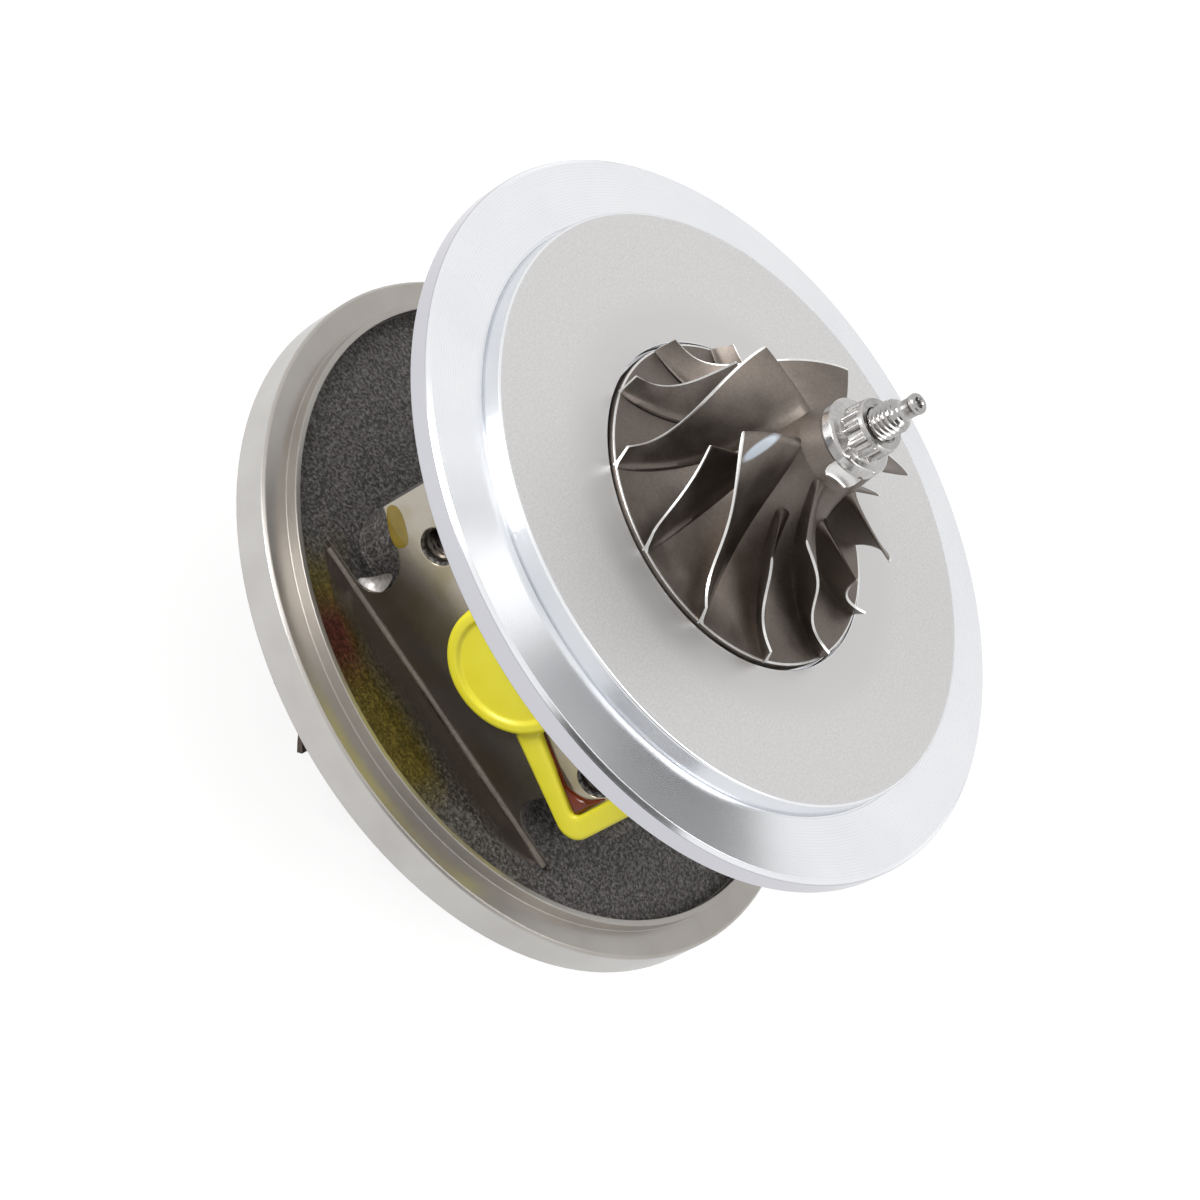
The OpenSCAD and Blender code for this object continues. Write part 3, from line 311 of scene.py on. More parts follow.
# %% Cast iron: surface
CAST_ROUGH, CUT_ROUGH, PAD_ROUGH, OIL_ROUGH = 0.5, 0.32, 0.2, 0.3
SAND_DEPTH, WORN_EDGE, CUT_BUMP = 0.3, 0.3, 0.03
dry_rough = add(t, "MapRange", {0: machined, 3: CAST_ROUGH, 4: CUT_ROUGH}).outputs[0]
dry_rough = add(t, "MapRange", {0: pad, 3: dry_rough, 4: PAD_ROUGH}).outputs[0]
matt = add(t, "MapRange", {0: wet, 3: dry_rough, 4: OIL_ROUGH}).outputs[0]
height = add(t, "Math", {0: sand, 1: lumps}, operation="ADD").outputs[0]
rough_part = add(t, "MapRange", {0: machined, 3: 1.0, 4: CUT_BUMP}).outputs[0]
height = add(t, "Math", {0: height, 1: rough_part}, operation="MULTIPLY").outputs[0]
soft_edge = add(t, "Bevel", {"Radius": WORN_EDGE * MM}, samples=6).outputs[0]
bump = add(t, "Bump", {
    "Height": height, "Strength": 0.8, "Distance": SAND_DEPTH * MM, "Normal": soft_edge}).outputs[0]
shader = add(t, "BsdfPrincipled", {
    "Base Color": colour, "Metallic": 0.75, "Roughness": matt, "Normal": bump})
add(t, "OutputMaterial", {0: shader.outputs[0]})
print("Finish:", iron.name)

# %% [markdown]
# ## Finishes of the wheels and the small metal pieces
# The compressor wheel is a fine aluminium casting with a warm grey satin skin. Its blade tips and
# rim are cut last, so they stay bright. The turbine wheel is a heat-resisting nickel alloy, dark
# brown from the mould. Nut, bolts and shaft are steel, and the bearings are bronze. They differ
# in colour, grain and gloss, so one loop makes them from a short table.

# %% Metal finishes
metal_table = {
    # name: (dark colour, light colour, grain in mm, roughness, bump distance in mm)
    "satin_cast_aluminium": ("#6c645e", "#7a726b", 0.4, 0.45, 0.006),
    "cut_aluminium_edge": ("#d3d1cf", "#e9e8e6", 0.3, 0.36, 0.004),
    "cast_nickel_alloy": ("#4a433e", "#6b6059", 0.5, 0.50, 0.040),
    "zinc_plated_steel": ("#adabaa", "#c3c1bf", 0.6, 0.2, 0.002),
    "ground_steel": ("#9f9d9b", "#b5b3b1", 0.4, 0.18, 0.002),
    "pressed_steel_sheet": ("#8d8985", "#aaa6a1", 0.9, 0.36, 0.010),
    "bearing_bronze": ("#a5813f", "#c39a52", 0.5, 0.30, 0.006),
    "piston_ring_iron": ("#5c5b59", "#7d7b78", 0.4, 0.38, 0.006),
    "tapped_iron": ("#3f3a35", "#5a534c", 0.5, 0.28, 0.006),
    "milled_iron": ("#6b645d", "#827b73", 0.5, 0.4, 0.02),
    "blasted_iron": ("#8b8784", "#c2bfbc", 0.55, 0.55, 0.16),
}
BROAD = 9
metals = {}
for name, (dark, light, size, gloss, depth) in metal_table.items():
    metal, t, place, *_ = start(name)
    fine = add(t, "TexNoise", {
        "Vector": place, "Scale": 1 / (size * MM), "Detail": 3.0}).outputs[0]
    broad = add(t, "TexNoise", {
        "Vector": place, "Scale": 1 / (size * BROAD * MM), "Detail": 2.0}).outputs[0]
    tone = add(t, "Math", {0: fine, 1: broad}, operation="ADD").outputs[0]
    tone = add(t, "MapRange", {0: tone, 1: 0.7, 2: 1.3}).outputs[0]
    colour = add(t, "Mix", {
        0: tone, 6: linear(dark), 7: linear(light)}, data_type="RGBA").outputs[2]
    matt = add(t, "MapRange", {
        0: broad, 1: 0.3, 2: 0.7, 3: gloss * 0.9, 4: gloss * 1.15}).outputs[0]
    bump = add(t, "Bump", {"Height": fine, "Strength": 0.5, "Distance": depth * MM}).outputs[0]
    shader = add(t, "BsdfPrincipled", {
        "Base Color": colour, "Metallic": 1.0, "Roughness": matt, "Normal": bump})
    add(t, "OutputMaterial", {0: shader.outputs[0]})
    metals[name] = metal
print("Finishes:", ", ".join(metals))

# %% [markdown]
# ## A pale mark on the wheel
# One full blade has a pale blue-white patch in its colour near its inlet edge. A Mapping node
# makes the patch's own space, in which the patch is a ball of radius 1, so the distance from its
# middle is the mask.

# %% Pale mark
MARK_MIDDLE, MARK_ALONG = Vector((-6.9, -11.2, 19.9)), Vector((0.3, 6.4, 2.1))
MARK_HALF = (4.5, 1.05, 0.9)
t = metals["satin_cast_aluminium"].node_tree
shader = next(node for node in t.nodes if node.type == "BSDF_PRINCIPLED")
skin = shader.inputs["Base Color"].links[0].from_socket
place = next(node for node in t.nodes if node.type == "TEX_COORD").outputs["Object"]
mark_turn = MARK_ALONG.to_track_quat("X", "Z").to_euler()
own = add(t, "Mapping", {
    "Vector": place, "Location": MARK_MIDDLE * MM, "Rotation": mark_turn,
    "Scale": Vector(MARK_HALF) * MM}, vector_type="TEXTURE").outputs[0]
away = add(t, "VectorMath", {0: own}, operation="LENGTH").outputs[1]
pale_patch = add(t, "MapRange", {0: away, 1: 1.05, 2: 0.75, 3: 0.0, 4: 0.85}).outputs[0]
patched_colour = add(t, "Mix", {0: pale_patch, 6: skin, 7: linear("#c3ccd6")}, data_type="RGBA").outputs[2]
t.links.new(patched_colour, shader.inputs["Base Color"])
print("Paint mark", 2 * MARK_HALF[0], "mm long")

# %% [markdown]
# ## Plastic, rubber and oil
# The drain cap is soft polyethylene, moulded in yellow, so light goes a little way in and the
# shine is broad. The O-ring is nitrile rubber. Engine oil is a clear brown liquid: a thick drop
# looks red-brown and a thin film amber.

# %% Plastic, rubber and oil finishes
HAZE, SKIN, SKIN_DEPTH, SOFT_DEPTH, DUST, OIL_CLOUD = 5, 0.8, 0.03, 0.6, 0.6, 3
plastic, t, place, *_ = start("moulded_yellow_polyethylene")
haze = add(t, "TexNoise", {"Vector": place, "Scale": 1 / (HAZE * MM), "Detail": 3.0}).outputs[0]
skin = add(t, "TexNoise", {"Vector": place, "Scale": 1 / (SKIN * MM), "Detail": 2.0}).outputs[0]
colour = add(t, "Mix", {
    0: haze, 6: linear("#e2d728"), 7: linear("#eee544")}, data_type="RGBA").outputs[2]
bump = add(t, "Bump", {"Height": skin, "Strength": 0.25, "Distance": SKIN_DEPTH * MM}).outputs[0]
shader = add(t, "BsdfPrincipled", {
    "Base Color": colour, "Roughness": 0.36, "IOR": 1.51, "Normal": bump,
    "Subsurface Weight": 0.25, "Subsurface Radius": (1.0, 0.8, 0.2),
    "Subsurface Scale": SOFT_DEPTH * MM})
add(t, "OutputMaterial", {0: shader.outputs[0]})

rubber, t, place, *_ = start("nitrile_rubber")
dust = add(t, "TexNoise", {"Vector": place, "Scale": 1 / (DUST * MM), "Detail": 3.0}).outputs[0]
colour = add(t, "Mix", {
    0: dust, 6: linear("#161616"), 7: linear("#2b2a29")}, data_type="RGBA").outputs[2]
shader = add(t, "BsdfPrincipled", {"Base Color": colour, "Roughness": 0.55, "IOR": 1.52})
add(t, "OutputMaterial", {0: shader.outputs[0]})

oils = {}
for name, thin, thick in (
        ("engine_oil_drop", "#7c2b03", "#3f1202"), ("engine_oil_film", "#8f7c34", "#6f5c1c")):
    oil, t, place, *_ = start(name)
    depth = add(t, "TexNoise", {
        "Vector": place, "Scale": 1 / (OIL_CLOUD * MM), "Detail": 1.0}).outputs[0]
    colour = add(t, "Mix", {
        0: depth, 6: linear(thin), 7: linear(thick)}, data_type="RGBA").outputs[2]
    shader = add(t, "BsdfPrincipled", {"Base Color": colour, "Roughness": 0.05, "IOR": 1.4})
    add(t, "OutputMaterial", {0: shader.outputs[0]})
    oils[name] = oil
print("Finishes:", plastic.name, rubber.name, *oils)

# %% [markdown]
# ## Surfaces from arrays
# Every new piece is a grid of points worked out with numpy. A list of quads joins each point to
# its neighbours, and the grid may close on itself in either direction. Points that fall together,
# as at a pole, are merged, and the normals are turned outwards.

# %% Surface helpers
MERGE = 2e-4


def quads(rows, columns, close_rows=False, close_columns=False):
    """Faces of a grid, row by row: each joins a point, its right neighbour and the two below."""
    i = np.arange(rows - (not close_rows))[:, None]
    j = np.arange(columns - (not close_columns))
    here, below = i * columns, (i + 1) % rows * columns
    over = (j + 1) % columns
    return np.stack([here + j, here + over, below + over, below + j], -1).reshape(-1, 4)


def rounded(corners, steps=6):
    """A closed outline: each corner (a, b, radius) becomes an arc between its two tangent points.

    The arc's centre lies on the corner's bisector, and its points turn evenly from one tangent
    point to the other. One more point beyond each end keeps the flats flat in the shading."""
    corners = np.asarray(corners, float)
    p, radius = corners[:, :2], np.maximum(corners[:, 2:3], 1e-4)
    to_last, to_next = np.roll(p, 1, 0) - p, np.roll(p, -1, 0) - p
    to_last /= np.linalg.norm(to_last, axis=1, keepdims=True)
    to_next /= np.linalg.norm(to_next, axis=1, keepdims=True)
    half = np.arccos(np.clip((to_last * to_next).sum(1, keepdims=True), -1, 1)) / 2
    reach = radius / np.tan(half)
    middle = to_last + to_next
    centre = p + middle / np.linalg.norm(middle, axis=1, keepdims=True) * radius / np.sin(half)
    first, last = p + to_last * reach, p + to_next * reach
    turn = (np.pi - 2 * half)[:, None]
    share = np.linspace(0, 1, steps)[None, :, None]
    arc = (np.sin((1 - share) * turn) * (first - centre)[:, None]
           + np.sin(share * turn) * (last - centre)[:, None]) / np.sin(turn) + centre[:, None]
    support = reach * 0.25 + 0.01
    before, after = (first + to_last * support)[:, None], (last + to_next * support)[:, None]
    return np.concatenate([before, arc, after], 1).reshape(-1, 2)


def sweep(r, z, a):
    """Points (r cos a, r sin a, z), row by row, from radii, heights and one row of angles."""
    r, z, a = np.broadcast_arrays(r, z, a)
    return np.stack([r * np.cos(a), r * np.sin(a), z], -1).reshape(-1, 3)


def circle(segments):
    """Even angles once round."""
    return np.linspace(0, 2 * np.pi, segments, endpoint=False)


def lathe(outline, segments):
    """A turned surface: an outline's points (r, z) swept round the shaft, with closed faces."""
    points = sweep(outline[:, :1], outline[:, 1:], circle(segments))
    return points, quads(len(outline), segments, True, True)


def turn_from(angle, middle):
    """Angle counted from a middle, between half a turn back and half a turn on."""
    return (angle - middle + np.pi) % (2 * np.pi) - np.pi


def build(name, surfaces, finishes, body, slot, *nodes, sharp=40):
    """One object from (points in mm, quads, finish numbers) surfaces, riding on a body."""
    starts = np.cumsum([0] + [len(s[0]) for s in surfaces[:-1]])
    points = np.concatenate([s[0] for s in surfaces]) * MM
    faces = np.concatenate([s[1] + k for s, k in zip(surfaces, starts)])
    numbers = np.concatenate([np.broadcast_to(s[2], len(s[1])) for s in surfaces])
    mesh = bpy.data.meshes.new(name)
    mesh.from_pydata(points.tolist(), [], faces.tolist())
    mesh.polygons.foreach_set("material_index", numbers.astype(np.int32))
    mesh.polygons.foreach_set("use_smooth", np.ones(len(faces), bool))
    solid = bmesh.new()
    solid.from_mesh(mesh)
    bmesh.ops.remove_doubles(solid, verts=solid.verts, dist=MERGE * MM)
    bmesh.ops.recalc_face_normals(solid, faces=solid.faces)
    solid.to_mesh(mesh)
    solid.free()
    mesh.set_sharp_from_angle(angle=np.radians(sharp))
    piece = bpy.data.objects.new(name, mesh)
    for finish in finishes:
        mesh.materials.append(finish)
    bpy.context.scene.collection.objects.link(piece)
    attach(piece, body)
    if nodes:
        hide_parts(*nodes)
    print(f"{name}: {len(mesh.vertices)} points, {len(mesh.polygons)} faces")
    return piece


print("Surface helpers ready; a grid of 3 by 4 points has", len(quads(3, 4)), "faces")

# %% [markdown]
# ## Backplate
# The backplate is a turned disc, so one outline swept round the shaft makes all of it: pocket,
# spigot, flange, boss and pilot. The outline's corners get the small radii that a turning tool
# and a deburring wheel leave, and those edges catch the light as thin bright lines. The rows of
# the spigot's face take the blasted finish, and all others the turned one.

# %% Backplate
ARC_STEPS, PLATE_SEGMENTS = 6, 384
corners = [
    # radius, height and corner radius in mm, from the pocket's floor outwards and back underneath
    (6.0, 1.6, 0.15), (24.8, 1.6, 0.25), (24.8, 3.2, 0.12), (45.0, 3.2, 0.35),
    (45.0, -0.25, 0.06), (45.35, -0.25, 0.06), (45.35, 0.0, 0.06), (54.3, 0.0, 0.1),
    (55.0, -0.6, 0.2), (55.0, -3.6, 0.4), (37.0, -3.6, 0.5), (37.0, -8.0, 0.3),
    (18.9, -8.0, 0.2), (18.9, -11.0, 0.2), (8.35, -11.0, 0.2), (8.35, -9.1, 0.2),
    (6.0, -9.1, 0.15)]
POCKET_EDGE, SPIGOT_EDGE = 2, 3
plate_points, plate_faces = lathe(rounded(corners, ARC_STEPS), PLATE_SEGMENTS)
row = np.arange(len(plate_faces)) // PLATE_SEGMENTS
a_corner = ARC_STEPS + 2
on_face = (row >= POCKET_EDGE * a_corner + ARC_STEPS) & (row <= SPIGOT_EDGE * a_corner)
build("backplate_turned", [(plate_points, plate_faces, on_face.astype(int))], [turned, blasted],
      "housing", "turned_aluminium", "backplate")

# %% [markdown]
# ## Blades
# A blade is a thin sheet that is twisted twice. Its middle surface comes from two lines, one on
# the hub and one along the tip, with an angle for each station between them. The two skins stand
# half a thickness to either side, the nose is an ellipse, and the root thickens into a fillet.

# %% Blade helpers
EXIT_SHARE = 0.999


def quarter(m, power):
    """Superellipse quarter path: cos and sin of 90 m degrees, at unit length in this power."""
    c, s = np.cos(np.pi / 2 * m), np.sin(np.pi / 2 * m)
    size = (c ** power + s ** power) ** (1 / power)
    return c / size, s / size


def blade(middle, m, half_thickness, nose, turn, rows=14, sink=0.1):
    """Closed blade skin: middle(m, s) plus and minus half_thickness(m, s) along its unit normal.

    The columns run up one skin from the sunk root to the tip, across the tip, and down the other.
    The half thickness follows an ellipse over the nose, and the last row folds shut."""
    # The last row but one stands close under the tip, so that the tip keeps a crisp edge
    s = np.append(np.linspace(-sink, 0.97, rows - 1), 1.0)
    across = np.array((0.5, 0.0, -0.5))
    columns = np.concatenate([s, np.ones(3), s[::-1]])
    side = np.concatenate([np.ones(rows), across, -np.ones(rows)])
    stations = np.append(m, m[-1])
    mm, ss = np.meshgrid(stations, columns, indexing="ij")
    step = 1e-3
    along = middle(mm + step, ss) - middle(mm - step, ss)
    over = middle(mm, ss + step) - middle(mm, ss - step)
    normal = np.cross(along, over)
    normal /= np.linalg.norm(normal, axis=-1, keepdims=True)
    lead = np.clip((mm - m[0]) / nose, 0, 1)
    half = half_thickness(mm, ss) * np.sqrt(1 - (1 - lead) ** 2)
    half[-1] = 0
    points = middle(mm, ss) + normal * (half * side)[..., None]
    c, n = np.cos(turn), np.sin(turn)
    points = points @ np.array(((c, n, 0), (-n, c, 0), (0, 0, 1)))
    faces = quads(len(stations), len(columns), close_columns=True)
    column = np.broadcast_to(np.arange(len(columns)), (len(stations) - 1, len(columns))).ravel()
    row = np.repeat(np.arange(len(stations) - 1), len(columns))
    # The columns over the tip and the row at the exit are turned bright on the lathe
    cut = ((column >= rows - 2) & (column < rows + 4)) | (row == len(stations) - 2)
    return points.reshape(-1, 3), faces, cut.astype(int)


def polar(r, angle, z):
    """Points at a radius, an angle in degrees and a height."""
    a = np.radians(angle)
    return np.stack([r * np.cos(a), r * np.sin(a), z], -1)


def shares(nose, nose_rows, rows):
    """Stations along a blade: close together over the nose, as 1 minus a cosine, and then even."""
    lead = nose * (1 - np.cos(np.linspace(0, np.pi / 2, nose_rows)[:-1]))
    return np.concatenate([lead, np.linspace(nose, EXIT_SHARE, rows)])


print("Blade helpers ready; halfway round a quarter circle is", np.round(quarter(0.5, 2), 3))

# %% [markdown]
# ## Compressor wheel: blades
# Seen from the nose the blades turn back against the rotation by about fifty degrees, quickly at
# first and hardly at all near the rim. At the inlet the root lies some degrees behind the tip,
# and at the rim it lies ahead of it.

# %% Compressor wheel: blade shape
WHEEL_R, INLET_R, NOSE_R = 24.3, 17.1, 6.3
INLET_Z, HUB_Z, RIM_Z, EXIT_Z = 20.8, 21.6, 3.8, 6.4
FIRST_BLADE, WRAP, INLET_LEAN, EXIT_LEAN = 173.6, 53.4, 6.9, 3.7
TIP_HALF, ROOT_HALF, ROOT_FILLET = 0.18, 0.37, 0.5


def wheel_hub(m):
    """Radius and height of the hub, a quarter circle stretched from the nose to the rim."""
    a, b = quarter(m, 2)
    return WHEEL_R - (WHEEL_R - NOSE_R) * a, HUB_Z - (HUB_Z - RIM_Z) * b


def wheel_middle(m, s):
    """Hub line and tip line joined straight: radius, height and angle are each linear in s."""
    m = np.clip(m, 0, 1)
    hub_r, hub_z = wheel_hub(m)
    a, b = quarter(m, 3)
    tip_r, tip_z = WHEEL_R - (WHEEL_R - INLET_R) * a, INLET_Z - (INLET_Z - EXIT_Z) * b
    wound = 0.85 * (1 - (1 - m) ** 3.2) + 0.15 * m ** 1.6
    lean = INLET_LEAN * (1 - wound) - EXIT_LEAN * wound
    angle = FIRST_BLADE + WRAP * wound - (1 - s) * lean
    return polar(hub_r + (tip_r - hub_r) * s, angle, hub_z + (tip_z - hub_z) * s)


def wheel_half(m, s):
    """Half thickness: thin at the tip, with a fillet at the root, and thin again at the exit."""
    root = ROOT_HALF * np.clip(1 - s, 0, 1.2) ** 1.4
    root = root + ROOT_FILLET * np.exp(-np.clip(s, 0, 1) / 0.07)
    return TIP_HALF + root * (1 - 0.72 * np.clip(m, 0, 1) ** 10)


print("Compressor blades turn back by", WRAP, "degrees")

# %% [markdown]
# ## Compressor wheel: hub
# The hub is a turned curve under the blades, and its rim is cut bright. The rotor was balanced by
# grinding a hollow into the end of the hub, under the nut: there the radius is cut back to a
# circle that lies beside the hub, and the hollow runs out downwards.

# %% Compressor wheel: hub
BORE_R, HUB_SEGMENTS, END_SEGMENTS = 2.52, 240, 480
HUB_END_R, HUB_END_Z = 5.8, 25.1
CUT_ANGLE, CUT_DEPTH, CUT_H = np.radians(302), 1.2, 2.4
RIM_ROWS = (6, 7)
hub_line = np.stack(wheel_hub(np.linspace(1, 0, 40)), 1)
wheel_outline = np.concatenate([
    [(BORE_R, 1.2), (5.6, 1.2), (5.6, 2.0), (24.15, 2.0), (24.3, 2.15), (24.3, 2.2)],
    [(24.3, RIM_Z - 0.15), (24.25, RIM_Z - 0.05), (24.0, RIM_Z - 0.02)], hub_line[1:],
    [(6.2, HUB_Z + 0.1), (BORE_R, HUB_Z + 0.1)]])
hub_points, hub_faces = lathe(wheel_outline, HUB_SEGMENTS)
hub_rows = np.repeat(np.arange(len(wheel_outline)), HUB_SEGMENTS)
rim_cut = np.isin(hub_rows, RIM_ROWS).astype(int)
end_outline = np.concatenate([
    [(BORE_R, HUB_Z - 0.3), (6.1, HUB_Z - 0.3)],
    np.linspace((NOSE_R, HUB_Z), (HUB_END_R + 0.03, HUB_END_Z - 0.15), 44),
    [(HUB_END_R - 0.15, HUB_END_Z), (BORE_R, HUB_END_Z)]])
end_points, end_faces = lathe(end_outline, END_SEGMENTS)
end_r = np.hypot(end_points[:, 0], end_points[:, 1])
off = turn_from(np.arctan2(end_points[:, 1], end_points[:, 0]), CUT_ANGLE)
down = np.clip((HUB_END_Z - end_points[:, 2]) / CUT_H, 0, 1)
beside = 2 * HUB_END_R - CUT_DEPTH * np.sqrt(1 - down ** 2)
inside = HUB_END_R ** 2 - (beside * np.sin(off)) ** 2
near_side = beside * np.cos(off) - np.sqrt(np.maximum(inside, 0))
hollow = np.where((inside > 0) & (np.abs(off) < 1), near_side, np.inf)
ground = (hollow < end_r) & (down < 1) & (end_r > 4)
end_points[:, :2] *= np.where(ground, hollow / end_r, 1.0)[:, None]
print("Hub hollow:", CUT_DEPTH, "mm deep")

# %% [markdown]
# ## Compressor wheel: the whole
# Six full blades start at the inlet, and six splitters between them a quarter of the way down. All
# follow one surface, so each is that surface turned about the shaft, and a splitter is its later
# part. Blades and hub are one casting, so they make one object.

# %% Compressor wheel
BLADES, BLADE_STEP = 6, 60
BLADE_NOSE, SPLITTER_NOSE, SPLITTER_START = 0.035, 0.03, 0.25
blade_m = shares(BLADE_NOSE, 7, 48)
splitter_m = SPLITTER_START + (EXIT_SHARE - SPLITTER_START) * blade_m / EXIT_SHARE
surfaces = [(hub_points, hub_faces, rim_cut), (end_points, end_faces, ground.astype(int))]
for k in range(BLADES):
    turn, half_turn = np.radians((BLADE_STEP * k, BLADE_STEP * (k + 0.5)))
    surfaces.append(blade(wheel_middle, blade_m, wheel_half, BLADE_NOSE, turn))
    surfaces.append(blade(wheel_middle, splitter_m, wheel_half, SPLITTER_NOSE, half_turn))
build("compressor_wheel_cast", surfaces,
      [metals["satin_cast_aluminium"], metals["cut_aluminium_edge"]],
      "rotor", "cast_aluminium", "compressor_wheel")

# %% [markdown]
# ## Turbine wheel
# The turbine takes gas in at its rim and lets it out at the end, so its blades are straight at
# the rim and curl over towards the boss. It is cast in one with the boss and is nowhere bright.

# %% Turbine wheel
TURBINE_R, OUTLET_R, TURBINE_HUB_R = 21.5, 19.2, 5.5
DISC_Z, OUTLET_Z, MOUTH_W = -52.25, -72.55, 5.6
TURBINE_BLADES, TURBINE_NOSE, BLADE_START, CURL = 11, 0.02, -3.0, 38


def turbine_hub(m):
    """Radius and height of the hub, a quarter circle stretched from the rim to the outlet."""
    a, b = quarter(m, 2)
    return TURBINE_R - (TURBINE_R - TURBINE_HUB_R) * b, OUTLET_Z + (DISC_Z - OUTLET_Z) * a


def turbine_middle(m, s):
    """Hub and tip lines from the rim to the outlet; the angle grows as the power 2.4 of m."""
    m = np.clip(m, 0, 1)
    hub_r, hub_z = turbine_hub(m)
    a, b = quarter(m, 4)
    tip_r = TURBINE_R - (TURBINE_R - OUTLET_R) * b
    tip_z = OUTLET_Z + (DISC_Z - OUTLET_Z - MOUTH_W) * a
    angle = BLADE_START + CURL * m ** 2.4
    return polar(hub_r + (tip_r - hub_r) * s, angle, hub_z + (tip_z - hub_z) * s)


def turbine_half(m, s):
    """Half thickness: 0.45 mm at the tip, 0.85 mm at the root, and a fillet that fades out."""
    return 0.45 + 0.4 * np.clip(1 - s, 0, 1.2) + 0.5 * np.exp(-np.clip(s, 0, 1) / 0.07)


turbine_outline = np.concatenate([
    [(0.0, -50.25), (7.3, -50.25), (7.45, -50.4), (21.3, -51.2), (21.5, -51.4)],
    np.stack(turbine_hub(np.linspace(0, 1, 36)), 1),
    [(5.4, -72.75), (4.2, -73.0), (4.0, -73.2), (4.0, -79.65), (3.7, -79.95), (0.0, -79.95)]])
surfaces = [(*lathe(turbine_outline, 200), 0)]
turbine_m = shares(TURBINE_NOSE, 6, 40) + 0.001
for k in range(TURBINE_BLADES):
    turn = 2 * np.pi * k / TURBINE_BLADES
    points, faces, _ = blade(turbine_middle, turbine_m, turbine_half, TURBINE_NOSE, turn)
    surfaces.append((points, faces, 0))
build("turbine_wheel_cast", surfaces, [metals["cast_nickel_alloy"]],
      "rotor", "heat_alloy", "turbine_wheel")

# %% [markdown]
# ## Shaft
# Almost all of the shaft is hidden, but its end shows a real screw thread, so the radius depends
# on the angle as well as on the height: going once round climbs one pitch.

# %% Shaft
THREAD_LOW, THREAD_TOP, PITCH = 26.0, 34.4, 0.8
THREAD_R, THREAD_DEPTH, RUN_OUT, SHAFT_SEGMENTS = 2.5, 0.46, 0.25, 96
# Radius and height of each plain row, from the turbine end up to the thread, and above the thread
fixed_rows = np.array([
    (0.0, -50.25), (7.25, -50.25), (7.4, -50.1), (7.4, -47.1), (6.7, -47.1), (6.7, -45.9),
    (7.4, -45.9), (7.4, -43.0), (7.25, -42.85), (3.9, -42.85), (3.9, -33.0), (3.6, -32.1),
    (3.6, -27.9), (3.9, -27.0), (3.9, -17.5), (3.75, -17.35), (2.5, -17.35), (2.5, 20.0)])
tip_rows = np.array([
    (2.0, 34.6), (1.65, 34.85), (1.45, 35.0), (1.4, 35.3), (1.4, 36.8), (1.5, 37.1), (1.55, 37.3),
    (1.55, 37.75), (1.4, 37.95), (0.85, 37.98), (0.75, 37.85), (0.7, 37.2), (0.0, 36.9)])
thread_z = np.arange(THREAD_LOW, THREAD_TOP, PITCH / 16)
a = circle(SHAFT_SEGMENTS)
tooth = np.abs(((thread_z[:, None] / PITCH - a / (2 * np.pi)) % 1.0) * 2 - 1)
fade = np.clip((THREAD_TOP - thread_z) / PITCH, 0, 1)[:, None]
groove = np.clip(1.15 * (1 - tooth) - 0.08, 0, 1)
thread_r = THREAD_R - THREAD_DEPTH * groove - RUN_OUT * (1 - fade)
plain_r, tip_r = (np.repeat(rows[:, :1], SHAFT_SEGMENTS, 1) for rows in (fixed_rows, tip_rows))
shaft_r = np.concatenate([plain_r, thread_r, tip_r])
shaft_z = np.concatenate([fixed_rows[:, 1], thread_z, tip_rows[:, 1]])
shaft_faces = quads(len(shaft_z), SHAFT_SEGMENTS, close_columns=True)
build("rotor_shaft_threaded", [(sweep(shaft_r, shaft_z[:, None], a), shaft_faces, 0)],
      [metals["ground_steel"]], "rotor", "ground_steel", "rotor_shaft", sharp=50)

# %% [markdown]
# ## Compressor nut
# The nut is a collar and a head with twelve points for a socket, under a thin plain disc. The
# points are a wave round the shaft with narrow crests and wide valleys. The collar's upper edge
# is ground back a little on one side, which was the last touch of the balancing.

# %% Compressor nut
COLLAR_R, NUT_LOW, COLLAR_TOP, POINTS_LOW, NUT_TOP = 5.8, 25.1, 27.0, 27.35, 31.0
POINT_R, FLUTE_DEPTH, DISC_R, DISC_LOW = 4.15, 0.62, 4.02, 30.25
TOUCH_ANGLE, TOUCH_HALF, TOUCH_DEPTH = np.radians(308), 0.55, 0.5
NECK_R, NECK_SLOPE, EDGE = 4.5, 0.9, 0.2
a = circle(288)
star = POINT_R - FLUTE_DEPTH * (1 - np.abs(np.cos(6 * a)) ** 2.5)
touch = TOUCH_DEPTH * np.clip(1 - (turn_from(a, TOUCH_ANGLE) / TOUCH_HALF) ** 2, 0, 1) ** 0.5
neck_low, neck_h = COLLAR_TOP + 0.08, POINTS_LOW - COLLAR_TOP
# Each row is a radius, the same all round or one for each angle, and a height
rows = [(BORE_R, NUT_LOW), (COLLAR_R - EDGE, NUT_LOW), (COLLAR_R, NUT_LOW + EDGE)]
rows += [(COLLAR_R - touch * k, NUT_LOW + 0.7 + 0.8 * k) for k in np.linspace(0, 1, 6)]
rows += [(COLLAR_R - touch - 0.08, COLLAR_TOP - 0.25), (COLLAR_R - touch - 0.3, COLLAR_TOP - 0.08)]
rows += [(5.1, COLLAR_TOP), (NECK_R, neck_low)]
rows += [(np.maximum(NECK_R - NECK_SLOPE * k, star), neck_low + neck_h * k)
         for k in np.linspace(0.2, 1, 5)]
rows += [(star, POINTS_LOW + 0.2), (star, DISC_LOW - 0.25)]
rows += [(np.maximum(star, DISC_R - EDGE), DISC_LOW - 0.08), (DISC_R, DISC_LOW)]
rows += [(DISC_R, NUT_TOP - EDGE), (DISC_R - EDGE, NUT_TOP)]
rows += [(2.9, NUT_TOP), (BORE_R, NUT_TOP - 0.35)]
nut_r = np.stack([np.broadcast_to(r, a.shape) for r, _ in rows])
nut_z = np.array([z for _, z in rows])[:, None]
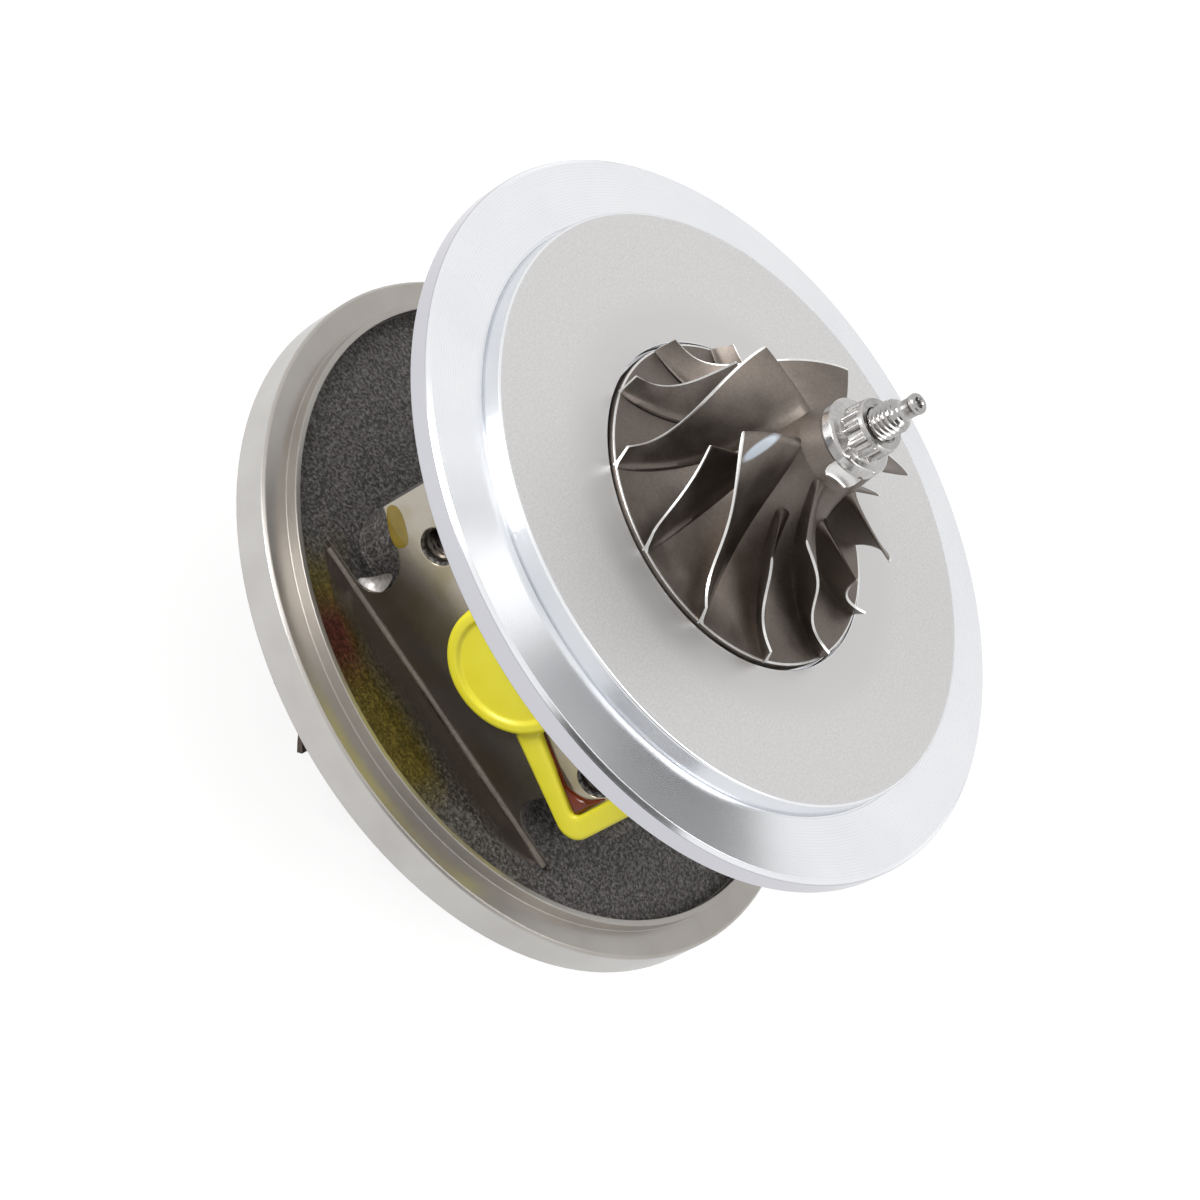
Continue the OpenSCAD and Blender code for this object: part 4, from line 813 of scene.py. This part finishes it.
on_top = np.repeat(np.arange(len(rows)) == len(rows) - 3, len(a)).astype(int)
build("compressor_nut_twelve_point",
      [(sweep(nut_r, nut_z, a), quads(len(rows), len(a), True, True), on_top)],
      [metals["zinc_plated_steel"], metals["ground_steel"]],
      "rotor", "plated_steel", "compressor_nut", sharp=28)

# %% [markdown]
# ## Drain cap
# The cap is moulded in one: a disc with a soft raised rim, a hollow shank, and a flat loop to
# pull it out by. The disc and shank are turned about the drain's axis. The loop is a ring between
# two rounded outlines, with a rounded section from one to the other.

# %% Drain cap
DRAIN_Z, PAD_Y = -18.8, 32.5


def to_drain(points):
    """Turns points made along +Z to stand out of the drain pad along -Y."""
    x, y, z = points.T
    return np.stack([x, -z, y + DRAIN_Z], -1)


# Corners of the cap (radius, height, corner radius), then of the loop's outer and inner edges
cap_outline = rounded([
    (5.85, 23.5, 0.3), (7.45, 23.5, 0.5), (7.45, 32.5, 0.1), (9.85, 32.5, 0.25), (9.85, 35.0, 0.8),
    (8.25, 35.0, 0.55), (7.75, 34.5, 0.5), (0.002, 34.5, 0.0), (0.002, 32.0, 0.0),
    (5.85, 32.0, 0.4)])
disc_points, disc_faces = lathe(cap_outline, 128)
outer = rounded([(8.3, -6.4, 0.5), (25.8, -10.0, 2.8), (25.8, 10.0, 2.8), (8.3, 6.4, 0.5)], 8)
window = rounded([(9.95, -2.85, 0.7), (22.6, -6.4, 1.0), (22.6, 6.4, 1.0), (9.95, 2.85, 0.7)], 8)
# Rounded section of the loop: share of the way from the inner edge to the outer, and height
share = np.array((0, 0, 0.03, 0.11, 0.2, 0.8, 0.89, 0.97, 1, 1))[:, None, None]
rise = np.array((0, 0.9, 1.12, 1.26, 1.3, 1.3, 1.26, 1.12, 0.9, 0))[:, None]
loop_flat = window * (1 - share) + outer * share
loop_rise = np.broadcast_to(PAD_Y + rise, loop_flat.shape[:2])[..., None]
loop_points = to_drain(np.concatenate([loop_flat, loop_rise], -1).reshape(-1, 3))
loop_faces = quads(len(rise), len(outer), True, True)
build("drain_cap_moulded",
      [(to_drain(disc_points), disc_faces, 0), (loop_points, loop_faces, 0)],
      [plastic], "cap", "yellow_plastic", "drain_cap", sharp=50)

# %% [markdown]
# ## Oil
# The cartridge was run on a test rig, and some oil was left on the drain side. A drop has a flat
# foot and a domed top, so it is a disc of rings: each ring is the drop's edge drawn in towards
# the middle, and it rises with a square root, which makes the steep wet edge of a real drop.

# %% Oil drops
FOOT_GAP = 0.02


def drop(edge, middle, depth):
    """A domed drop on the pad: rings at a share v from the middle to the edge, sqrt(1 - v^2) high.

    Between edge points the line is the cubic through them whose slope at each is half the step
    from the point before to the point after. A last ring at the foot closes the drop below."""
    p1, u = np.asarray(edge, float)[:, None], np.linspace(0, 1, 10, endpoint=False)[None, :, None]
    p0, p2, p3 = np.roll(p1, 1, 0), np.roll(p1, -1, 0), np.roll(p1, -2, 0)
    bend = 2 * p0 - 5 * p1 + 4 * p2 - p3 + u * (3 * (p1 - p2) + p3 - p0)
    line = (p1 + u / 2 * (p2 - p0 + u * bend)).reshape(-1, 2)
    v = np.concatenate([np.linspace(0, 1, 12), [0.0]])
    height = depth * np.sqrt(np.maximum(1 - v ** 2, 0))
    height[-1] = 0
    flat = np.asarray(middle) + (line - np.asarray(middle)) * v[:, None, None]
    out = np.broadcast_to((PAD_Y + FOOT_GAP + height)[:, None], flat.shape[:2])
    points = np.stack([flat[..., 0], -out, flat[..., 1]], -1).reshape(-1, 3)
    return points, quads(len(v), len(line), close_columns=True)


# Edges of the drops on the pad, as x and z in mm
film_edge = [
    (-27.4, -22.4), (-26.9, -20.9), (-24.7, -21.2), (-21.8, -22.9), (-22.1, -24.9), (-24.6, -24.4)]
drop_edge = [
    (14.5, -22.8), (17.2, -23.5), (19.6, -23.1), (21.3, -21.7), (22.3, -19.2), (22.45, -21.6),
    (22.45, -24.4), (21.9, -24.9), (18.2, -23.95)]
tail_edge = [
    (10.3, -21.5), (14.0, -22.45), (17.6, -23.45), (18.4, -23.95), (14.0, -22.75), (10.3, -21.75)]
build("oil_film_on_pad", [(*drop(film_edge, (-24.4, -22.8), 0.1), 0)],
      [oils["engine_oil_film"]], "housing", "bronze")
build("oil_drop_in_loop",
      [(*drop(drop_edge, (21.3, -24.1), 1.0), 0), (*drop(tail_edge, (14.5, -22.7), 0.4), 0)],
      [oils["engine_oil_drop"]], "housing", "bronze")

# %% [markdown]
# ## Fillet at the drain pad
# The cutter that milled the pad had a rounded corner, so it left a hollow fillet between the pad
# and the floor below it, which shows as a thin light line. The fillet is a bar along X with a
# hollow quarter circle for its front.

# %% Pad fillet
FILLET_R, FLOOR_Z, FILLET_X, SUNK = 0.8, -35.1, (-26.8, 26.8), 0.1
turn = np.linspace(0, np.pi / 2, 9)
fillet_y = -PAD_Y - FILLET_R + FILLET_R * np.cos(turn)
fillet_z = FLOOR_Z + FILLET_R - FILLET_R * np.sin(turn)
section = np.concatenate([np.stack([fillet_y, fillet_z], -1), [(-PAD_Y + SUNK, FLOOR_Z - SUNK)]])
middle = section.mean(0)
across = np.repeat(FILLET_X, 2)[:, None, None]
flat = middle + (section - middle) * np.array((0, 1, 1, 0))[:, None, None]
bar = np.concatenate([np.broadcast_to(across, (*flat.shape[:2], 1)), flat], -1).reshape(-1, 3)
build("pad_root_fillet", [(bar, quads(4, len(section), close_columns=True), 0)],
      [metals["milled_iron"]], "housing", "cast_iron")

# %% [markdown]
# ## Slope in the notch
# In the notch beside the pad the cast metal slopes down to the floor. The slope starts at the
# notch's edge on the pad, from its foot round its lower corner, and runs inwards as a parabola.
# It is widest in the middle and vanishes at both ends.

# %% Notch slope
SLOPE_POINTS, SLOPE_ROWS = 41, 9
SLOPE_IN, SLOPE_DEPTH, SLOPE_RISE, BEHIND = 2.0, 1.3, 0.4, (0.2, 0.05)
edge = np.array([
    (-20.9, -34.3), (-19.2, -33.9), (-18.0, -32.8),
    (-17.75, -31.4), (-18.1, -29.9), (-18.9, -28.4)])
u = np.linspace(0, len(edge) - 1, SLOPE_POINTS)
edge = [np.interp(u, np.arange(len(edge)), line) for line in edge.T]
# A running mean of nine points rounds the corners of the edge
mean = np.ones(9) / 9
edge_x, edge_z = (np.convolve(np.pad(line, 4, mode="edge"), mean, "valid") for line in edge)
spread = np.sin(np.linspace(0, np.pi, SLOPE_POINTS)) ** 0.7
share = np.linspace(0, 1, SLOPE_ROWS)[:, None]
slope_x = edge_x - SLOPE_IN * spread * share
slope_y = -PAD_Y + BEHIND[1] + SLOPE_DEPTH * spread * (1 - (1 - share) ** 2)
slope_z = edge_z + SLOPE_RISE * spread * share
slope = np.stack([slope_x, slope_y, slope_z], -1)
back_row = np.stack([edge_x + BEHIND[0], slope_y[-1], edge_z], -1)[None]
slope_points = np.concatenate([slope, back_row]).reshape(-1, 3)
build("notch_slope", [(slope_points, quads(SLOPE_ROWS + 1, SLOPE_POINTS, close_rows=True), 0)],
      [metals["blasted_iron"]], "housing", "cast_iron")

# %% [markdown]
# ## Screw threads in the housing
# The two drain bolts and the oil pipe screw into tapped holes. The CAD holes are plain, so each
# gets a thin sleeve: plain outside, where it lies on the hole's wall, and a screw thread inside.

# %% Tapped holes
BOLT_X, OIL_INLET_Y, OIL_INLET_Z, SLEEVE_SEGMENTS = 19.25, 31.0, -22.0, 64
# Radius, pitch, and the depths at which the thread starts and ends
DRAIN_TAP, INLET_TAP = (2.5, 1.0, 0.9, 10.0), (4.5, 1.0, 0.6, 11.0)


def thread_sleeve(radius, pitch, first, last):
    """A tube along +Z. The radius inside is a triangle wave that climbs one pitch a turn."""
    a = circle(SLEEVE_SEGMENTS)
    depth = np.arange(first, last, pitch / 10)
    wave = np.abs(((depth[:, None] / pitch - a / (2 * np.pi)) % 1.0) * 2 - 1)
    inside = radius - 0.03 - 0.45 * pitch * wave
    r = np.concatenate([inside, np.full((2, SLEEVE_SEGMENTS), radius - 0.01)])
    z = np.concatenate([-depth, [-depth[-1], -depth[0]]])[:, None]
    return sweep(r, z, a), quads(len(r), SLEEVE_SEGMENTS, True, True)


tap_points, tap_faces = thread_sleeve(*DRAIN_TAP)
drain_taps = [(to_drain(tap_points + (side * BOLT_X, 0, PAD_Y)), tap_faces, 0) for side in (-1, 1)]
build("drain_tap_threads", drain_taps, [metals["tapped_iron"]], "housing", "cast_iron")
pipe_points, pipe_faces = thread_sleeve(*INLET_TAP)
px, py, pz = pipe_points.T
pipe_tap = np.stack([px, pz + OIL_INLET_Y, OIL_INLET_Z - py], -1)
build("oil_inlet_threads", [(pipe_tap, pipe_faces, 0)], [metals["tapped_iron"]],
      "housing", "cast_iron")

# %% [markdown]
# ## Finishes of the CAD pieces
# The housing, the shield, the bolts and the hidden bearing parts keep their CAD shapes, because
# those are already right. Each only takes the finish of its real material.

# %% Finishes on CAD pieces
finishes = {**metals, iron.name: iron, rubber.name: rubber}
cad_table = {
    "sand_cast_and_machined_iron": ("centre_housing",),
    "nitrile_rubber": ("backplate_o_ring",),
    "zinc_plated_steel": ("backplate_bolts",),
    "bearing_bronze": ("thrust_bearing", "upper_journal_bearing", "lower_journal_bearing"),
    "ground_steel": ("thrust_dowels", "thrust_collar", "flinger_spacer", "retaining_rings"),
    "pressed_steel_sheet": ("oil_deflector", "heat_shield"),
    "piston_ring_iron": ("compressor_seal_ring", "turbine_seal_ring"),
}
for finish, names in cad_table.items():
    for name in names:
        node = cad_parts[name]
        node.data.materials.clear()
        node.data.materials.append(finishes[finish])
print("CAD pieces finished:", sum(map(len, cad_table.values())))

# %% [markdown]
# ## World and floor
# The photograph has a plain white ground and soft light from all round. The world is white where
# the camera or a reflection sees it, and dimmer as a lamp. The floor adds a little light of its
# own to the light that falls on it, so it is white with a faint shadow.

# %% World and floor
WORLD_LIGHT, FLOOR_GLOW, FLOOR_GREY = 0.55, 0.72, 0.42
FLOOR_HALF, FLOOR_GAP = 6.0, 0.0002


def seen_rays(tree):
    """1 for rays from the camera, a mirror or glass, and 0 for the rays that carry light."""
    rays = add(tree, "LightPath", {}).outputs
    seen = add(tree, "Math", {
        0: rays["Is Camera Ray"], 1: rays["Is Glossy Ray"]}, operation="MAXIMUM").outputs[0]
    return add(tree, "Math", {
        0: seen, 1: rays["Is Transmission Ray"]}, operation="MAXIMUM").outputs[0]


def sheet(name, corners, finish):
    """A flat sheet with four corners in metres."""
    mesh = bpy.data.meshes.new(name)
    mesh.from_pydata([tuple(corner) for corner in corners], [], [(0, 1, 2, 3)])
    mesh.materials.append(finish)
    piece = bpy.data.objects.new(name, mesh)
    bpy.context.scene.collection.objects.link(piece)
    return piece


SQUARE = ((-1, -1), (1, -1), (1, 1), (-1, 1))
world = bpy.data.worlds.new("studio")
bpy.context.scene.world = world
world.use_nodes = True
t = world.node_tree
t.nodes.clear()
strength = add(t, "MapRange", {0: seen_rays(t), 3: WORLD_LIGHT, 4: 1.0}).outputs[0]
add(t, "OutputWorld", {0: add(t, "Background", {0: (1, 1, 1, 1), 1: strength}).outputs[0]})

floor_finish, t = empty("white_studio_floor")
glow = add(t, "Math", {0: seen_rays(t), 1: FLOOR_GLOW}, operation="MULTIPLY").outputs[0]
paper = add(t, "BsdfDiffuse", {0: (FLOOR_GREY, FLOOR_GREY, FLOOR_GREY, 1)})
light = add(t, "Emission", {0: (1, 1, 1, 1), 1: glow})
shader = add(t, "AddShader", {0: paper.outputs[0], 1: light.outputs[0]})
add(t, "OutputMaterial", {0: shader.outputs[0]})
floor_z = cad_box[0][2] - FLOOR_GAP
corners = [(FLOOR_HALF * i, FLOOR_HALF * j, floor_z) for i, j in SQUARE]
floor = sheet("studio_floor", corners, floor_finish)
print("Floor at", round(floor_z / MM, 1), "mm")

# %% [markdown]
# ## Lamps
# One large soft lamp above the camera's left shoulder shapes the object, and a weaker one fills
# from the right. Their places are counted along the picture's right, up and back.

# %% Lamps
lamp_table = (
    # name, place in m, size in m, power in W
    ("key_softbox", (-0.45, 0.55, 0.75), 0.5, 9.0), ("fill_softbox", (0.8, -0.1, 0.5), 0.7, 3.5))


def facing(toward):
    """Unit vectors sideways, upwards and outwards at a place that faces the origin from there."""
    face = toward / np.linalg.norm(toward)
    side = np.cross((0.0, 0.0, 1.0), face)
    side /= np.linalg.norm(side)
    return side, np.cross(face, side), face


for name, place, size, watts in lamp_table:
    lamp = bpy.data.lights.new(name, "AREA")
    lamp.energy, lamp.size = watts, size
    lamp_object = bpy.data.objects.new(name, lamp)
    toward = place[0] * right + place[1] * up + place[2] * back
    turn = np.eye(4)
    turn[:3] = np.stack([*facing(toward), toward], -1)
    lamp_object.matrix_world = Matrix(turn.tolist())
    bpy.context.scene.collection.objects.link(lamp_object)
print("Lamps:", ", ".join(row[0] for row in lamp_table))

# %% [markdown]
# ## Cards
# Bright metal shows what stands round it. In an all-white room it is a flat white, so a
# photographer puts dark cards round the object, out of the picture, and their reflections draw
# the metal's form. One beside the camera shades the spigot's wall. Two behind the object, high
# up, make the dark fans on the turned flange, and a small card between them glows on its own
# and paints the bright highlight in between. Only reflections see the cards: they throw no
# shadow and hide nothing.

# %% Cards
CARD_DISTANCE = 0.8
card_table = (
    # name, direction and height in degrees, half width in m, colour, strength
    ("side", -46, 37, 0.28, "#262423", 1.0),
    ("fan", 62, 57, 0.15, "#262423", 1.0),
    ("streak", 97, 59, 0.035, "#262423", 1.0),
    # The glint card glows with no lamp on it, and paints a highlight on the flange in reflections
    ("glint", 87, 61, 0.045, "#ffffff", 2.4))
for name, turn, height, half, tone, power in card_table:
    card_finish, t = empty("card_" + name)
    shader = add(t, "Emission", {0: linear(tone), 1: power})
    add(t, "OutputMaterial", {0: shader.outputs[0]})
    turn, height = np.radians((turn, height))
    side, rise, face = facing(np.array((
        np.cos(turn) * np.cos(height), np.sin(turn) * np.cos(height), np.sin(height))))
    corners = [face * CARD_DISTANCE + half * (i * side + j * rise) for i, j in SQUARE]
    card = sheet("card_" + name, corners, card_finish)
    card.visible_camera = card.visible_diffuse = False
    card.visible_transmission = card.visible_shadow = False
print("Cards stand", CARD_DISTANCE, "m away")
